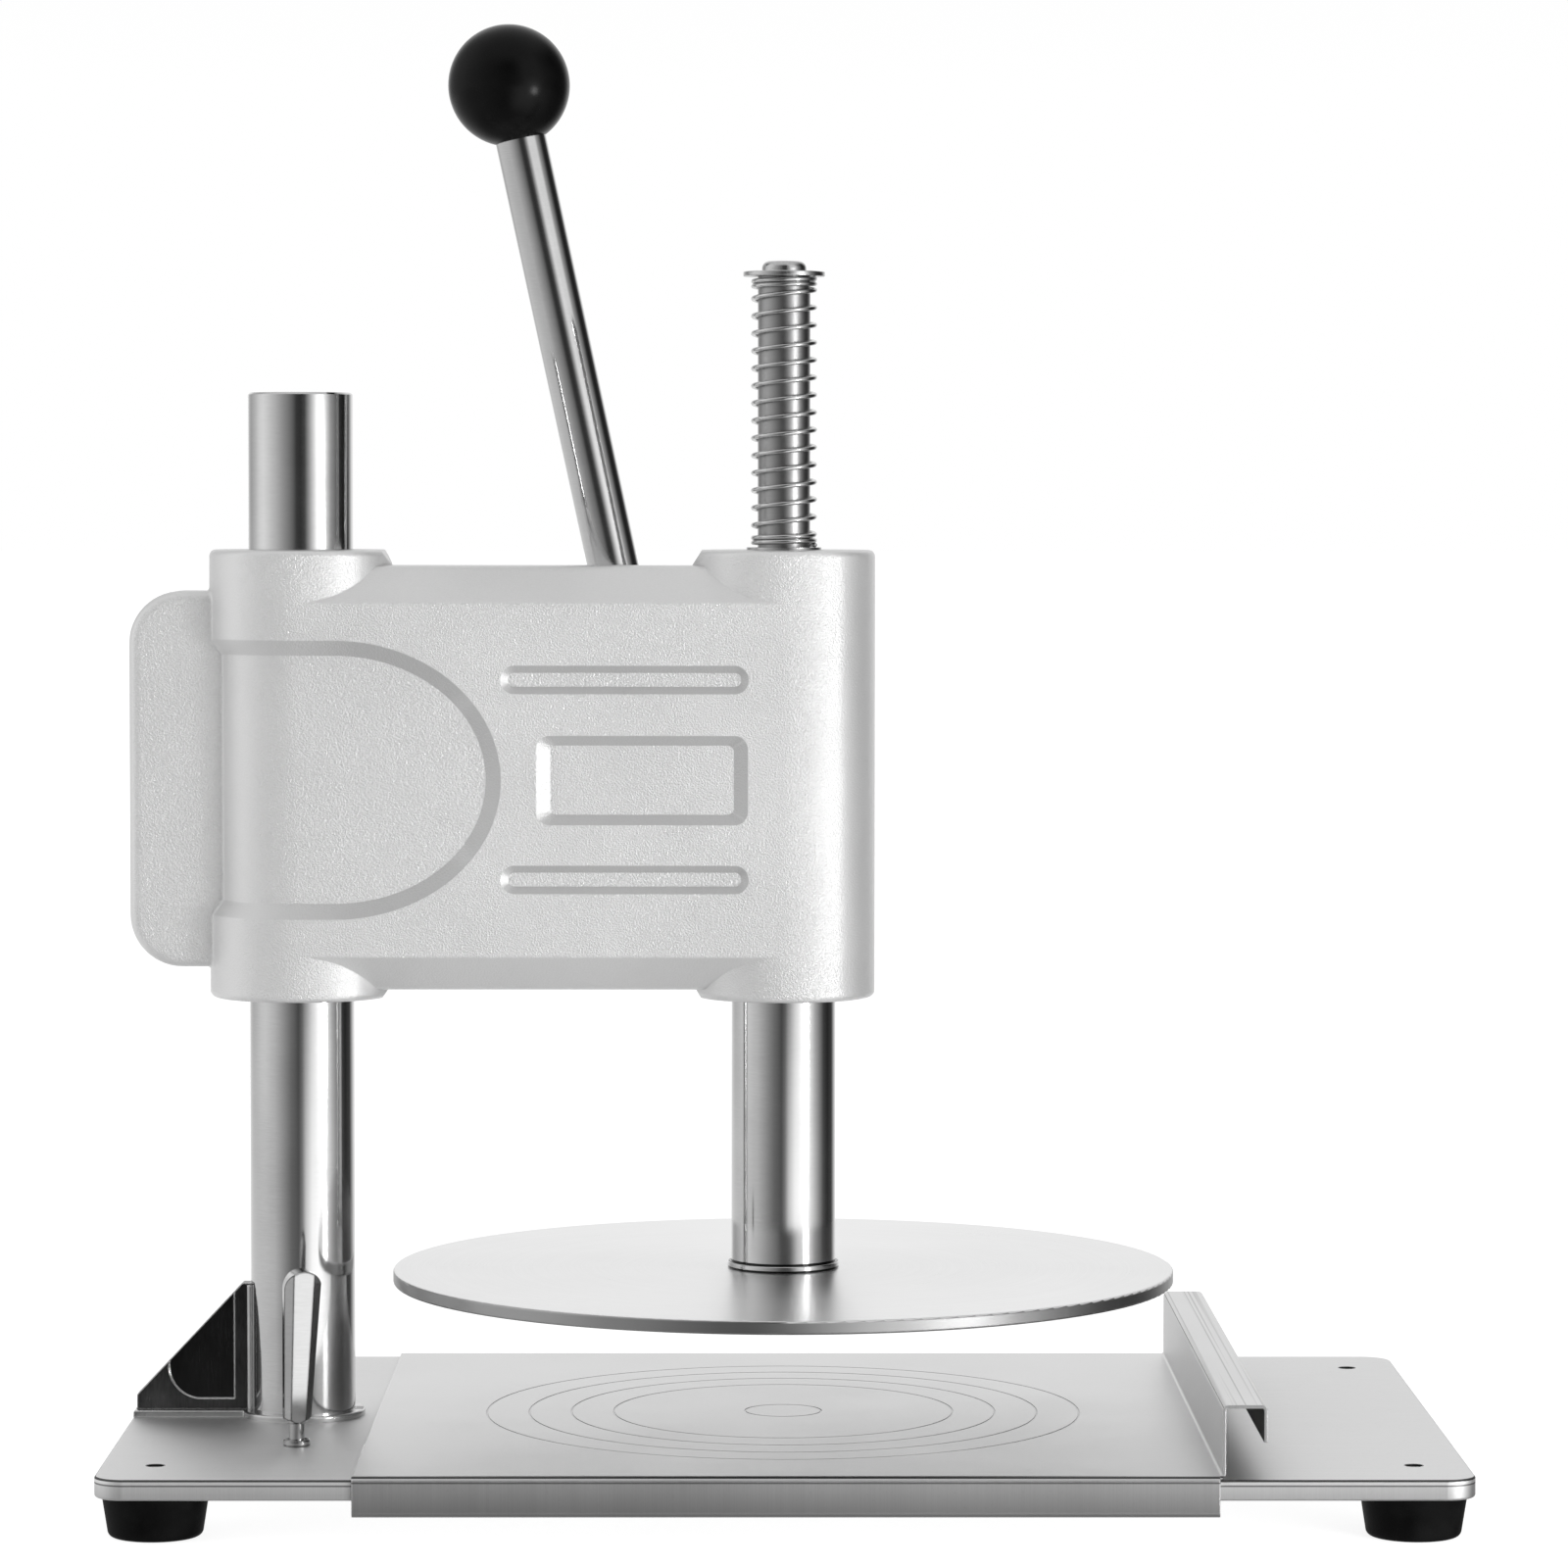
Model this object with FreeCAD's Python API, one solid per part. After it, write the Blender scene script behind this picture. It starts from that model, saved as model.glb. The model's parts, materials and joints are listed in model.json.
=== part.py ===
"""Lever press with a round plate: a post and a sliding tray on a flat base, and a cast head in which a
lever drives a sprung ram by rack and pinion. Millimetres, +Z up, +X from the post towards the user,
origin on the table under the ram."""

import math
import os

import FreeCAD, Part

V = FreeCAD.Vector
X_AXIS, Y_AXIS, Z_AXIS = V(1, 0, 0), V(0, 1, 0), V(0, 0, 1)

# ---- driving dimensions ----
BASE_LENGTH, BASE_DEPTH, BASE_THICKNESS = 400.0, 240.0, 6.2
BASE_TOP = 20.5
FOOT_X, FOOT_Y, FOOT_TOP_R, FOOT_BOTTOM_R = 184.0, 95.0, 16.0, 13.75
TRAY_LEFT, TRAY_RIGHT, TRAY_SHEET = -125.0, 127.0, 1.0
POST_X, POST_R, POST_TOP = -148.0, 16.0, 335.0
HEAD_BOTTOM, HEAD_TOP, BOSS_R = 150.0, 287.1, 28.0
RAM_R, RAM_TOP = 16.0, 268.0
PLATE_R, PLATE_THICKNESS, PLATE_TOP = 120.0, 4.0, 66.4
ROD_R, SPRING_TOP = 8.0, 370.6
GEAR_MODULE, GEAR_TEETH, RACK_PITCH_X, PINION_Z = 2.5, 22, -12.0, 217.7
LEVER_Y, LEVER_TILT, LEVER_LENGTH, LEVER_R, KNOB_R = 42.0, 12.2, 218.9, 8.0, 19.0

# ---- clearances and worked-out sizes ----
SLIDE_FIT = 0.06     # radial gap of a shaft that slides or turns in its hole
THREAD_FIT = 0.02    # radial gap left between a screw and its thread
SCREW_GAP = 0.25     # radial gap of a screw in a plain hole
HOLE_SPARE = 0.5     # depth of a blind hole beyond the end of its screw
EDGE_BREAK = 0.6     # usual softening of a machined edge
PAST = 1.0           # how far a cutting shape runs past the face it cuts
NEAR = 0.01          # how close an edge lies to a plane to count as on it
BASE_BOTTOM = BASE_TOP - BASE_THICKNESS
PITCH_R = GEAR_MODULE * GEAR_TEETH / 2
PINION_X = RACK_PITCH_X - PITCH_R


# ---- helpers ----
def save(name, shape):
    """Writes one sub-part as a STEP file named after its node."""
    assert shape.isValid() and shape.Solids, name
    shape.exportStep("parts/" + name + ".step")


def group(shapes):
    """Several separate solids in one node."""
    return Part.makeCompound(shapes)


def box(x0, x1, y0, y1, z0, z1):
    return Part.makeBox(x1 - x0, y1 - y0, z1 - z0, V(x0, y0, z0))


def disc_z(x, y, z0, z1, r):
    return Part.makeCylinder(r, z1 - z0, V(x, y, z0), Z_AXIS)


def disc_y(x, z, y0, y1, r):
    return Part.makeCylinder(r, y1 - y0, V(x, y0, z), Y_AXIS)


def ring_z(x, y, z0, z1, outer, inner):
    return disc_z(x, y, z0, z1, outer).cut(disc_z(x, y, z0 - PAST, z1 + PAST, inner))


def ring_y(x, z, y0, y1, outer, inner):
    return disc_y(x, z, y0, y1, outer).cut(disc_y(x, z, y0 - PAST, y1 + PAST, inner))


def prism(points, sweep):
    """A straight-sided outline swept along a vector."""
    return Part.Face(Part.makePolygon(points + points[:1])).extrude(sweep)


def solid_from(curves, sweep):
    """A closed outline of lines and curves swept along a vector."""
    edges = Part.__sortEdges__([curve.toShape() for curve in curves])
    return Part.Face(Part.Wire(edges)).extrude(sweep)


def hexagon(centre, axis, height, across_flats):
    """A hexagonal prism that stands on its centre point."""
    corner_r = across_flats / math.sqrt(3)
    turns = [math.radians(60 * i) for i in range(6)]
    points = [V(corner_r * math.cos(a), corner_r * math.sin(a), 0) for a in turns]
    body = prism(points, V(0, 0, height))
    body.Placement = FreeCAD.Placement(centre, FreeCAD.Rotation(Z_AXIS, axis))
    return body


def middle(edge):
    return edge.valueAt((edge.FirstParameter + edge.LastParameter) / 2)


def is_straight(edge, axis):
    """True for a straight edge along an axis."""
    return isinstance(edge.Curve, Part.Line) and edge.tangentAt(0).cross(axis).Length < NEAR


def rounded(shape, r, test):
    """Rounds the edges that pass the test."""
    return shape.makeFillet(r, [e for e in shape.Edges if test(e)])


def bevelled(shape, size, test):
    """Bevels the edges that pass the test."""
    return shape.makeChamfer(size, [e for e in shape.Edges if test(e)])


def rounded_block(x0, x1, y0, y1, z0, z1, r, axis):
    """A box whose four edges along the axis are rounded."""
    return rounded(box(x0, x1, y0, y1, z0, z1), r, lambda e: is_straight(e, axis))


def folded_sheet(points, sweep, thickness, bend_r):
    """Sheet metal folded along a centre line and swept sideways; bend_r is the radius at mid-thickness."""
    across = V(sweep).normalize()
    ahead = [(b - a).normalize() for a, b in zip(points, points[1:])]
    normal = [across.cross(d) for d in ahead]
    curves, ends = [], []
    for side in (thickness / 2, -thickness / 2):
        at = points[0] + normal[0] * side
        ends.append(at)
        for i in range(1, len(points) - 1):
            turn = ahead[i - 1].getAngle(ahead[i])
            reach = bend_r * math.tan(turn / 2)
            left_turn = 1 if normal[i - 1].dot(ahead[i]) > 0 else -1
            centre = points[i] - ahead[i - 1] * reach + normal[i - 1] * (left_turn * bend_r)
            start = points[i] - ahead[i - 1] * reach + normal[i - 1] * side
            end = points[i] + ahead[i] * reach + normal[i] * side
            outward = (points[i] - centre).normalize()
            curves.append(Part.LineSegment(at, start))
            curves.append(Part.Arc(start, centre + outward * (bend_r - left_turn * side), end))
            at = end
        last = points[-1] + normal[-1] * side
        curves.append(Part.LineSegment(at, last))
        ends.append(last)
    curves += [Part.LineSegment(ends[0], ends[2]), Part.LineSegment(ends[1], ends[3])]
    return solid_from(curves, sweep)


def screw_y(x, z, seat_y, length, r, head_r, head_height):
    """A socket screw along Y whose head sits on seat_y and points to +Y."""
    crown, socket_floor = head_r * 0.15, head_height * 0.4
    shank = disc_y(x, z, seat_y - length, seat_y, r)
    head = disc_y(x, z, seat_y, seat_y + head_height, head_r)
    head = rounded(head, crown, lambda e: middle(e).y > seat_y + head_height - NEAR)
    socket = hexagon(V(x, seat_y + socket_floor, z), Y_AXIS, head_height, head_r)
    return head.fuse(shank).cut(socket)


# ---- base and feet ----
BASE_CORNER_R, BASE_EDGE_R = 9.0, 0.8
FOOT_PLACES = {
    "foot_front_left": (-FOOT_X, -FOOT_Y),
    "foot_front_right": (FOOT_X, -FOOT_Y),
    "foot_back_left": (-FOOT_X, FOOT_Y),
    "foot_back_right": (FOOT_X, FOOT_Y),
}
FOOT_SCREW_R, FOOT_SCREW_HEAD_R, FOOT_SCREW_HEAD, FOOT_SCREW_EDGE_R = 2.6, 4.8, 3.0, 1.0
FOOT_SOCKET, FOOT_SOCKET_FLATS = 1.6, 3.0
FOOT_RECESS_R, FOOT_RECESS, FOOT_EDGE_R = 6.5, 6.0, 2.0
SCREW_END_BELOW_TOP = 2.0
POST_BOLT_R, POST_BOLT_DEPTH, POST_BOLT_SPARE = 6.0, 26.0, 3.0
POST_BOLT_HEAD, POST_BOLT_FLATS = 7.0, 18.0
POST_WASHER_R, POST_WASHER_T = 12.0, 1.6
LOCK_X, LOCK_Y, LOCK_THREAD_R = -145.5, -58.9, 2.5


def base_plate():
    """Thick plate with round corners and a softened top edge."""
    half_x, half_y = BASE_LENGTH / 2, BASE_DEPTH / 2
    plate = rounded_block(-half_x, half_x, -half_y, half_y, BASE_BOTTOM, BASE_TOP, BASE_CORNER_R, Z_AXIS)
    plate = rounded(plate, BASE_EDGE_R, lambda e: not is_straight(e, Z_AXIS))
    holes = [(x, y, FOOT_SCREW_R + THREAD_FIT) for x, y in FOOT_PLACES.values()]
    holes += [(POST_X, 0, POST_BOLT_R + SLIDE_FIT), (LOCK_X, LOCK_Y, LOCK_THREAD_R + SLIDE_FIT)]
    for x, y, r in holes:
        plate = plate.cut(disc_z(x, y, BASE_BOTTOM - PAST, BASE_TOP + PAST, r))
    return plate


def foot(x, y):
    """Tapered rubber foot, recessed underneath for its screw."""
    body = Part.makeCone(FOOT_BOTTOM_R, FOOT_TOP_R, BASE_BOTTOM, V(x, y, 0), Z_AXIS)
    body = rounded(body, FOOT_EDGE_R, lambda e: middle(e).z < NEAR and e.isClosed())
    body = body.cut(disc_z(x, y, -PAST, FOOT_RECESS, FOOT_RECESS_R))
    return body.cut(disc_z(x, y, 0, BASE_TOP, FOOT_SCREW_R + THREAD_FIT))


def foot_screw(x, y):
    """Screw up through the foot that ends below the plate's top face."""
    head_z = FOOT_RECESS - FOOT_SCREW_HEAD
    head = disc_z(x, y, head_z, FOOT_RECESS, FOOT_SCREW_HEAD_R)
    head = rounded(head, FOOT_SCREW_EDGE_R, lambda e: middle(e).z < head_z + NEAR)
    shank = disc_z(x, y, FOOT_RECESS, BASE_TOP - SCREW_END_BELOW_TOP, FOOT_SCREW_R)
    socket = hexagon(V(x, y, head_z - PAST), Z_AXIS, FOOT_SOCKET + PAST, FOOT_SOCKET_FLATS)
    return head.fuse(shank).cut(socket)


# ---- post, its foot plate and gusset ----
FOOT_PLATE_T, FOOT_PLATE_R, FOOT_PLATE_STRIP, FOOT_PLATE_TOE = 2.0, 19.0, 6.0, 0.8
GUSSET_LEFT, GUSSET_HALF, GUSSET_TOP, GUSSET_FLAT, GUSSET_TOE = -199.0, 3.0, 61.5, 2.5, 4.5
RELIEF_DEPTH, RELIEF_EDGE, RELIEF_FLOOR = 0.8, 5.0, 3.3
RELIEF_LEFT, RELIEF_TURN, RELIEF_BULGE = 10.0, 19.0, (2.4, 3.4)
WELD_R, WELD_END = 1.5, 0.5
GUSSET_BOTTOM = BASE_TOP + FOOT_PLATE_T
GUSSET_RIGHT = POST_X - POST_R


def post():
    """Solid round bar with a bevelled top and a threaded hole in its foot."""
    bar = disc_z(POST_X, 0, BASE_TOP, POST_TOP, POST_R)
    bar = bevelled(bar, EDGE_BREAK, lambda e: middle(e).z > POST_TOP - NEAR)
    thread_r = POST_BOLT_R + THREAD_FIT
    return bar.cut(disc_z(POST_X, 0, BASE_TOP - PAST, BASE_TOP + POST_BOLT_DEPTH, thread_r))


def post_bolt():
    """Hexagon bolt up through the base into the post."""
    seat_z = BASE_BOTTOM - POST_WASHER_T
    head = hexagon(V(POST_X, 0, seat_z - POST_BOLT_HEAD), Z_AXIS, POST_BOLT_HEAD, POST_BOLT_FLATS)
    shank = disc_z(POST_X, 0, seat_z, BASE_TOP + POST_BOLT_DEPTH - POST_BOLT_SPARE, POST_BOLT_R)
    return head.fuse(shank)


def post_washer():
    seat_z = BASE_BOTTOM - POST_WASHER_T
    return ring_z(POST_X, 0, seat_z, BASE_BOTTOM, POST_WASHER_R, POST_BOLT_R + SLIDE_FIT)


def post_foot_plate():
    """Keyhole-shaped plate round the post, with a strip under the gusset."""
    half = FOOT_PLATE_STRIP
    strip = box(GUSSET_LEFT - FOOT_PLATE_TOE, POST_X, -half, half, BASE_TOP, GUSSET_BOTTOM)
    plate = disc_z(POST_X, 0, BASE_TOP, GUSSET_BOTTOM, FOOT_PLATE_R).fuse(strip).removeSplitter()
    plate = rounded(plate, EDGE_BREAK, lambda e: middle(e).z > GUSSET_BOTTOM - NEAR)
    return plate.cut(disc_z(POST_X, 0, 0, POST_TOP, POST_R + THREAD_FIT))


def gusset_slope(x):
    """Height of the gusset's sloping edge."""
    rise = GUSSET_TOP - GUSSET_BOTTOM - GUSSET_TOE
    run = GUSSET_RIGHT - GUSSET_FLAT - GUSSET_LEFT
    return GUSSET_BOTTOM + GUSSET_TOE + rise * (x - GUSSET_LEFT) / run


def gusset_relief(side):
    """Pocket in one face: open to the slope, with a round lower left corner."""
    y = side * (GUSSET_HALF - RELIEF_DEPTH)
    floor, right = GUSSET_BOTTOM + RELIEF_FLOOR, GUSSET_RIGHT - RELIEF_EDGE
    left, turn = GUSSET_LEFT + RELIEF_LEFT, GUSSET_LEFT + RELIEF_TURN
    start, end = V(left, y, gusset_slope(left)), V(turn, y, floor)
    corner, peak = V(right, y, floor), V(right, y, gusset_slope(right))
    bulge = V(left + RELIEF_BULGE[0], y, floor + RELIEF_BULGE[1])
    outline = [Part.Arc(start, bulge, end), Part.LineSegment(end, corner),
               Part.LineSegment(corner, peak), Part.LineSegment(peak, start)]
    return solid_from(outline, V(0, side * RELIEF_DEPTH * 2, 0))


def gusset_plate():
    """Triangular brace behind the post, relieved on both faces."""
    inside_post = POST_X - POST_R / 2
    outline = [(GUSSET_LEFT, GUSSET_BOTTOM), (GUSSET_LEFT, GUSSET_BOTTOM + GUSSET_TOE),
               (GUSSET_RIGHT - GUSSET_FLAT, GUSSET_TOP), (inside_post, GUSSET_TOP),
               (inside_post, GUSSET_BOTTOM)]
    plate = prism([V(x, -GUSSET_HALF, z) for x, z in outline], V(0, 2 * GUSSET_HALF, 0))
    plate = plate.cut(disc_z(POST_X, 0, 0, POST_TOP, POST_R + THREAD_FIT))
    return plate.cut(gusset_relief(-1)).cut(gusset_relief(1))


def gusset_welds():
    """An upright weld bead on each side of the gusset."""
    beads = []
    for side in (-1, 1):
        y = side * GUSSET_HALF
        x = POST_X - math.sqrt(POST_R**2 - y**2)
        bead = disc_z(x, y, GUSSET_BOTTOM, GUSSET_TOP - WELD_END, WELD_R)
        bead = bead.cut(disc_z(POST_X, 0, 0, POST_TOP, POST_R + THREAD_FIT))
        bead = bead.cut(box(GUSSET_LEFT, POST_X, -GUSSET_HALF, GUSSET_HALF, 0, POST_TOP))
        beads.append(bead.Solids[0])
    return group(beads)


# ---- locking lever on the base ----
LOCK_HANDLE_Z, LOCK_HANDLE_TOP, LOCK_NECK_R, LOCK_TURN, LOCK_LEAN = 27.2, 73.0, 2.3, 14.0, 1.8
LOCK_WASHER_R, LOCK_WASHER_T, LOCK_LIFT = 4.0, 1.8, 0.1
LOCK_NUT_FLATS, LOCK_NUT_T = 8.0, 4.0
LOCK_BOTTOM_SIZE, LOCK_TOP_SIZE, LOCK_FLATS = (4.0, 3.0), (5.7, 4.2), (0.55, 0.45)
LOCK_HEEL_R, LOCK_BODY_R, LOCK_HEEL, LOCK_NECK_DEPTH, LOCK_STUD_END = 2.8, 9.0, 8.0, 12.0, 1.5


def lock_section(z, shift, half_width, half_depth):
    """An eight-sided cross-section: a rectangle with cut corners."""
    flat_x, flat_y = half_width * LOCK_FLATS[0], half_depth * LOCK_FLATS[1]
    corners = []
    for sx, sy in ((1, 1), (-1, 1), (-1, -1), (1, -1)):
        pair = [(sx * half_width, sy * flat_y), (sx * flat_x, sy * half_depth)]
        corners += pair if sx == sy else pair[::-1]
    return Part.makePolygon([V(x + shift, y, z) for x, y in corners + corners[:1]])


def lock_handle():
    """Tapered thumb lever, a little off the upright, with bevelled edges and a round top."""
    sections = [lock_section(LOCK_HANDLE_Z, 0, *LOCK_BOTTOM_SIZE),
                lock_section(LOCK_HANDLE_TOP, LOCK_LEAN, *LOCK_TOP_SIZE)]
    body = Part.makeLoft(sections, True, True)
    crown_r, wide = LOCK_TOP_SIZE[0], LOCK_BODY_R
    crown_z = LOCK_HANDLE_TOP - crown_r
    crown = disc_y(LOCK_LEAN, crown_z, -wide, wide, crown_r).fuse(box(-wide, wide, -wide, wide, 0, crown_z))
    heel = Part.makeCone(LOCK_HEEL_R, wide, LOCK_HEEL, V(0, 0, LOCK_HANDLE_Z), Z_AXIS)
    heel = heel.fuse(disc_z(0, 0, LOCK_HANDLE_Z + LOCK_HEEL, LOCK_HANDLE_TOP, wide))
    body = body.common(crown).common(heel)
    body = body.cut(disc_z(0, 0, 0, LOCK_HANDLE_Z + LOCK_NECK_DEPTH, LOCK_NECK_R + THREAD_FIT))
    body.rotate(V(0, 0, 0), Z_AXIS, LOCK_TURN)
    body.translate(V(LOCK_X, LOCK_Y, 0))
    return body


def lock_stud():
    """Stud from the lever down into the thread under the base."""
    neck_top = LOCK_HANDLE_Z + LOCK_NECK_DEPTH - HOLE_SPARE
    stud_bottom = BASE_BOTTOM - LOCK_NUT_T - LOCK_STUD_END
    neck = disc_z(LOCK_X, LOCK_Y, BASE_TOP, neck_top, LOCK_NECK_R)
    return neck.fuse(disc_z(LOCK_X, LOCK_Y, stud_bottom, BASE_TOP, LOCK_THREAD_R))


def lock_washer():
    bottom, inner = BASE_TOP + LOCK_LIFT, LOCK_NECK_R + THREAD_FIT
    top = bottom + LOCK_WASHER_T
    washer = ring_z(LOCK_X, LOCK_Y, bottom, top, LOCK_WASHER_R, inner)
    return rounded(washer, EDGE_BREAK, lambda e: middle(e).z > top - NEAR and e.Curve.Radius > inner + NEAR)


def lock_nut():
    nut = hexagon(V(LOCK_X, LOCK_Y, BASE_BOTTOM - LOCK_NUT_T), Z_AXIS, LOCK_NUT_T, LOCK_NUT_FLATS)
    return nut.cut(disc_z(LOCK_X, LOCK_Y, 0, BASE_TOP, LOCK_THREAD_R + SLIDE_FIT))


# ---- tray ----
TRAY_LIFT, TRAY_SIDE_GAP, TRAY_BEND_R = 0.1, 0.3, 1.2
TRAY_SKIRT, TRAY_LIP = 12.1, 7.0
HOOK_TOP, HOOK_WIDTH, HOOK_DROP, GRIP_OVERLAP = 42.1, 12.0, 10.9, 10.0
TRAY_RINGS, RING_WIDTH, RING_DEPTH = (11.5, 52.0, 65.0, 78.0, 91.0), 0.5, 0.2
TRAY_TOP = BASE_TOP + TRAY_LIFT + TRAY_SHEET


def tray():
    """Sliding sheet: its long edges hook under the base and its outer end stands up as a grip."""
    half = TRAY_SHEET / 2
    top_z, lip_z = TRAY_TOP - half, TRAY_TOP - TRAY_SKIRT + half
    side_y = BASE_DEPTH / 2 + TRAY_SIDE_GAP + half
    lip_y = side_y - TRAY_LIP
    section = [(-lip_y, lip_z), (-side_y, lip_z), (-side_y, top_z), (side_y, top_z), (side_y, lip_z),
               (lip_y, lip_z)]
    wall_x = TRAY_RIGHT - half
    sweep = V(wall_x - TRAY_BEND_R - TRAY_LEFT, 0, 0)
    channel = folded_sheet([V(TRAY_LEFT, y, z) for y, z in section], sweep, TRAY_SHEET, TRAY_BEND_R)
    hook_z, hook_x = HOOK_TOP - half, TRAY_RIGHT + HOOK_WIDTH - half
    section = [(wall_x - GRIP_OVERLAP, top_z), (wall_x, top_z), (wall_x, hook_z), (hook_x, hook_z),
               (hook_x, HOOK_TOP - HOOK_DROP)]
    half_y = side_y - TRAY_BEND_R
    sweep = V(0, 2 * half_y, 0)
    grip = folded_sheet([V(x, -half_y, z) for x, z in section], sweep, TRAY_SHEET, TRAY_BEND_R)
    sheet = channel.fuse(grip).removeSplitter()
    for r in TRAY_RINGS:
        sheet = sheet.cut(ring_z(0, 0, TRAY_TOP - RING_DEPTH, TRAY_TOP + PAST, r + RING_WIDTH, r))
    return sheet


# ---- head casting ----
SLAB_BOTTOM, SLAB_TOP = 153.0, 282.3
BEVEL_DEPTH, BEVEL_HEIGHT = 13.5, 11.1
SLAB_EDGE_R, FACE_EDGE_R, BOSS_RIM_R = 5.0, 1.0, 2.0
BOSS_CUT_X, BOSS_CUT_Z = 2.9, 4.5
EAR_LEFT, EAR_HALF, EAR_BOTTOM, EAR_TOP = -200.0, 9.6, 159.5, 274.5
EAR_CORNER_R, EAR_EDGE_R, EAR_ROOT, EAR_SLIT, EAR_SEAM_R = 16.0, 3.6, 2.0, 1.5, 1.2
CLAMP_X, CLAMP_SPACING, CLAMP_R, CLAMP_THREAD = -187.0, 72.0, 3.0, 6.5
CLAMP_HEAD_R, CLAMP_HEAD, CLAMP_WASHER_R, CLAMP_WASHER_T = 5.0, 6.0, 6.2, 1.6
DEE_DEPTH, DEE_WALL, DEE_HALF, DEE_STRAIGHT_X, DEE_RIGHT = 3.0, 4.6, 42.2, -136.0, -85.7
BAR_LEFT, BAR_RIGHT, BAR_HALF, BAR_CORNER_R, BAR_OFFSETS = -85.8, -10.8, 4.3, 4.2, (30.4, -30.1)
BAR_WALLS, BAR_DEPTH = (2.2, 2.2), 1.8
PANEL_LEFT, PANEL_RIGHT, PANEL_HALF, PANEL_CORNER_R = -75.0, -11.0, 13.5, 4.0
PANEL_WALLS, PANEL_DEPTH = (4.2, 3.0), 2.6
HEAD_MID = (HEAD_BOTTOM + HEAD_TOP) / 2
FACE_MID = (SLAB_BOTTOM + SLAB_TOP) / 2
CAVITY_LEFT, CAVITY_RIGHT, CAVITY_FRONT, CAVITY_HALF, CAVITY_CORNER_R = -98.0, -12.0, -20.0, 40.0, 4.0
COVER_LEFT, COVER_RIGHT, COVER_HALF, COVER_T, COVER_CORNER_R, COVER_GAP = -108.0, 1.0, 50.0, 4.0, 8.0, 0.2
COVER_SCREW_X, COVER_SCREW_Z, COVER_SCREW_R, COVER_SCREW_LENGTH = (-103.0, -53.0, -5.0), 45.0, 2.5, 9.5
COVER_HEAD_R, COVER_HEAD = 4.6, 2.8
SHAFT_R, BUSH_R, BUSH_BOSS_R, BUSH_FLOOR, COLLAR_OUT, COLLAR_EDGE_R = 7.0, 10.0, 15.5, -22.5, 2.0, 0.8
PINION_HALF, WASHER_T, END_PLAY = 8.0, 1.8, 0.1
BUSH_FACE = PINION_HALF + WASHER_T + 2 * END_PLAY
RAM_BUSH_R, RAM_BUSH_TOP, RAM_BORE_R, ROD_BUSH_R, ROD_BUSH_BOTTOM = 19.0, 166.0, 17.0, 11.0, 268.3


def head_boss(x, inner_side):
    """Upright round boss: soft rims, and a flat slope at each end towards the slab."""
    body = disc_z(x, 0, HEAD_BOTTOM, HEAD_TOP, BOSS_R)
    body = rounded(body, BOSS_RIM_R, lambda e: e.isClosed())
    edge_x = x + inner_side * BOSS_R
    start_x, past_x = edge_x - inner_side * BOSS_CUT_X, edge_x + inner_side * PAST
    for end_z, up in ((HEAD_TOP, 1), (HEAD_BOTTOM, -1)):
        slope_z, past_z = end_z - up * BOSS_CUT_Z, end_z + up * PAST
        outline = [(edge_x, slope_z), (start_x, end_z), (start_x, past_z), (past_x, past_z),
                   (past_x, slope_z)]
        body = body.cut(prism([V(px, -BOSS_R, pz) for px, pz in outline], V(0, 2 * BOSS_R, 0)))
    return body


def head_slab():
    """Block between the bosses, bevelled along its four long edges."""
    half_z = (SLAB_TOP - SLAB_BOTTOM) / 2
    quarter = [(BOSS_R, half_z - BEVEL_HEIGHT), (BOSS_R - BEVEL_DEPTH, half_z)]
    half = quarter + [(-y, z) for y, z in quarter[::-1]]
    outline = half + [(-y, -z) for y, z in half]
    block = prism([V(POST_X, y, FACE_MID + z) for y, z in outline], V(-POST_X, 0, 0))
    near = BOSS_R - NEAR
    block = rounded(block, SLAB_EDGE_R, lambda e: is_straight(e, X_AXIS) and abs(middle(e).y) < near)
    return rounded(block, FACE_EDGE_R, lambda e: is_straight(e, X_AXIS) and abs(middle(e).y) > near)


def clamp_ears():
    """Lug behind the post boss; it is split, and screws draw its halves together."""
    right, half = POST_X - POST_R - EAR_ROOT, EAR_HALF
    lug = rounded_block(EAR_LEFT, POST_X, -half, half, EAR_BOTTOM, EAR_TOP, EAR_CORNER_R, Y_AXIS)
    lug = lug.common(box(EAR_LEFT, right, -half, half, EAR_BOTTOM, EAR_TOP))
    return rounded(lug, EAR_EDGE_R, lambda e: abs(middle(e).y) > half - NEAR and middle(e).x < right - NEAR)


def dee_outline(y, shrink):
    """Outline of the D-shaped relief at one depth: straight at the boss, half an ellipse at the end."""
    half, left, start = DEE_HALF - shrink, POST_X, V(DEE_STRAIGHT_X, y, FACE_MID)
    arc = Part.Ellipse(start + V(DEE_RIGHT - shrink - DEE_STRAIGHT_X, 0, 0), start + V(0, 0, half), start)
    corners = [V(DEE_STRAIGHT_X, y, FACE_MID - half), V(left, y, FACE_MID - half),
               V(left, y, FACE_MID + half), V(DEE_STRAIGHT_X, y, FACE_MID + half)]
    curves = [Part.LineSegment(a, b) for a, b in zip(corners, corners[1:])]
    curves.append(Part.ArcOfEllipse(arc, -math.pi / 2, math.pi / 2))
    return Part.Wire(Part.__sortEdges__([curve.toShape() for curve in curves]))


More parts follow.
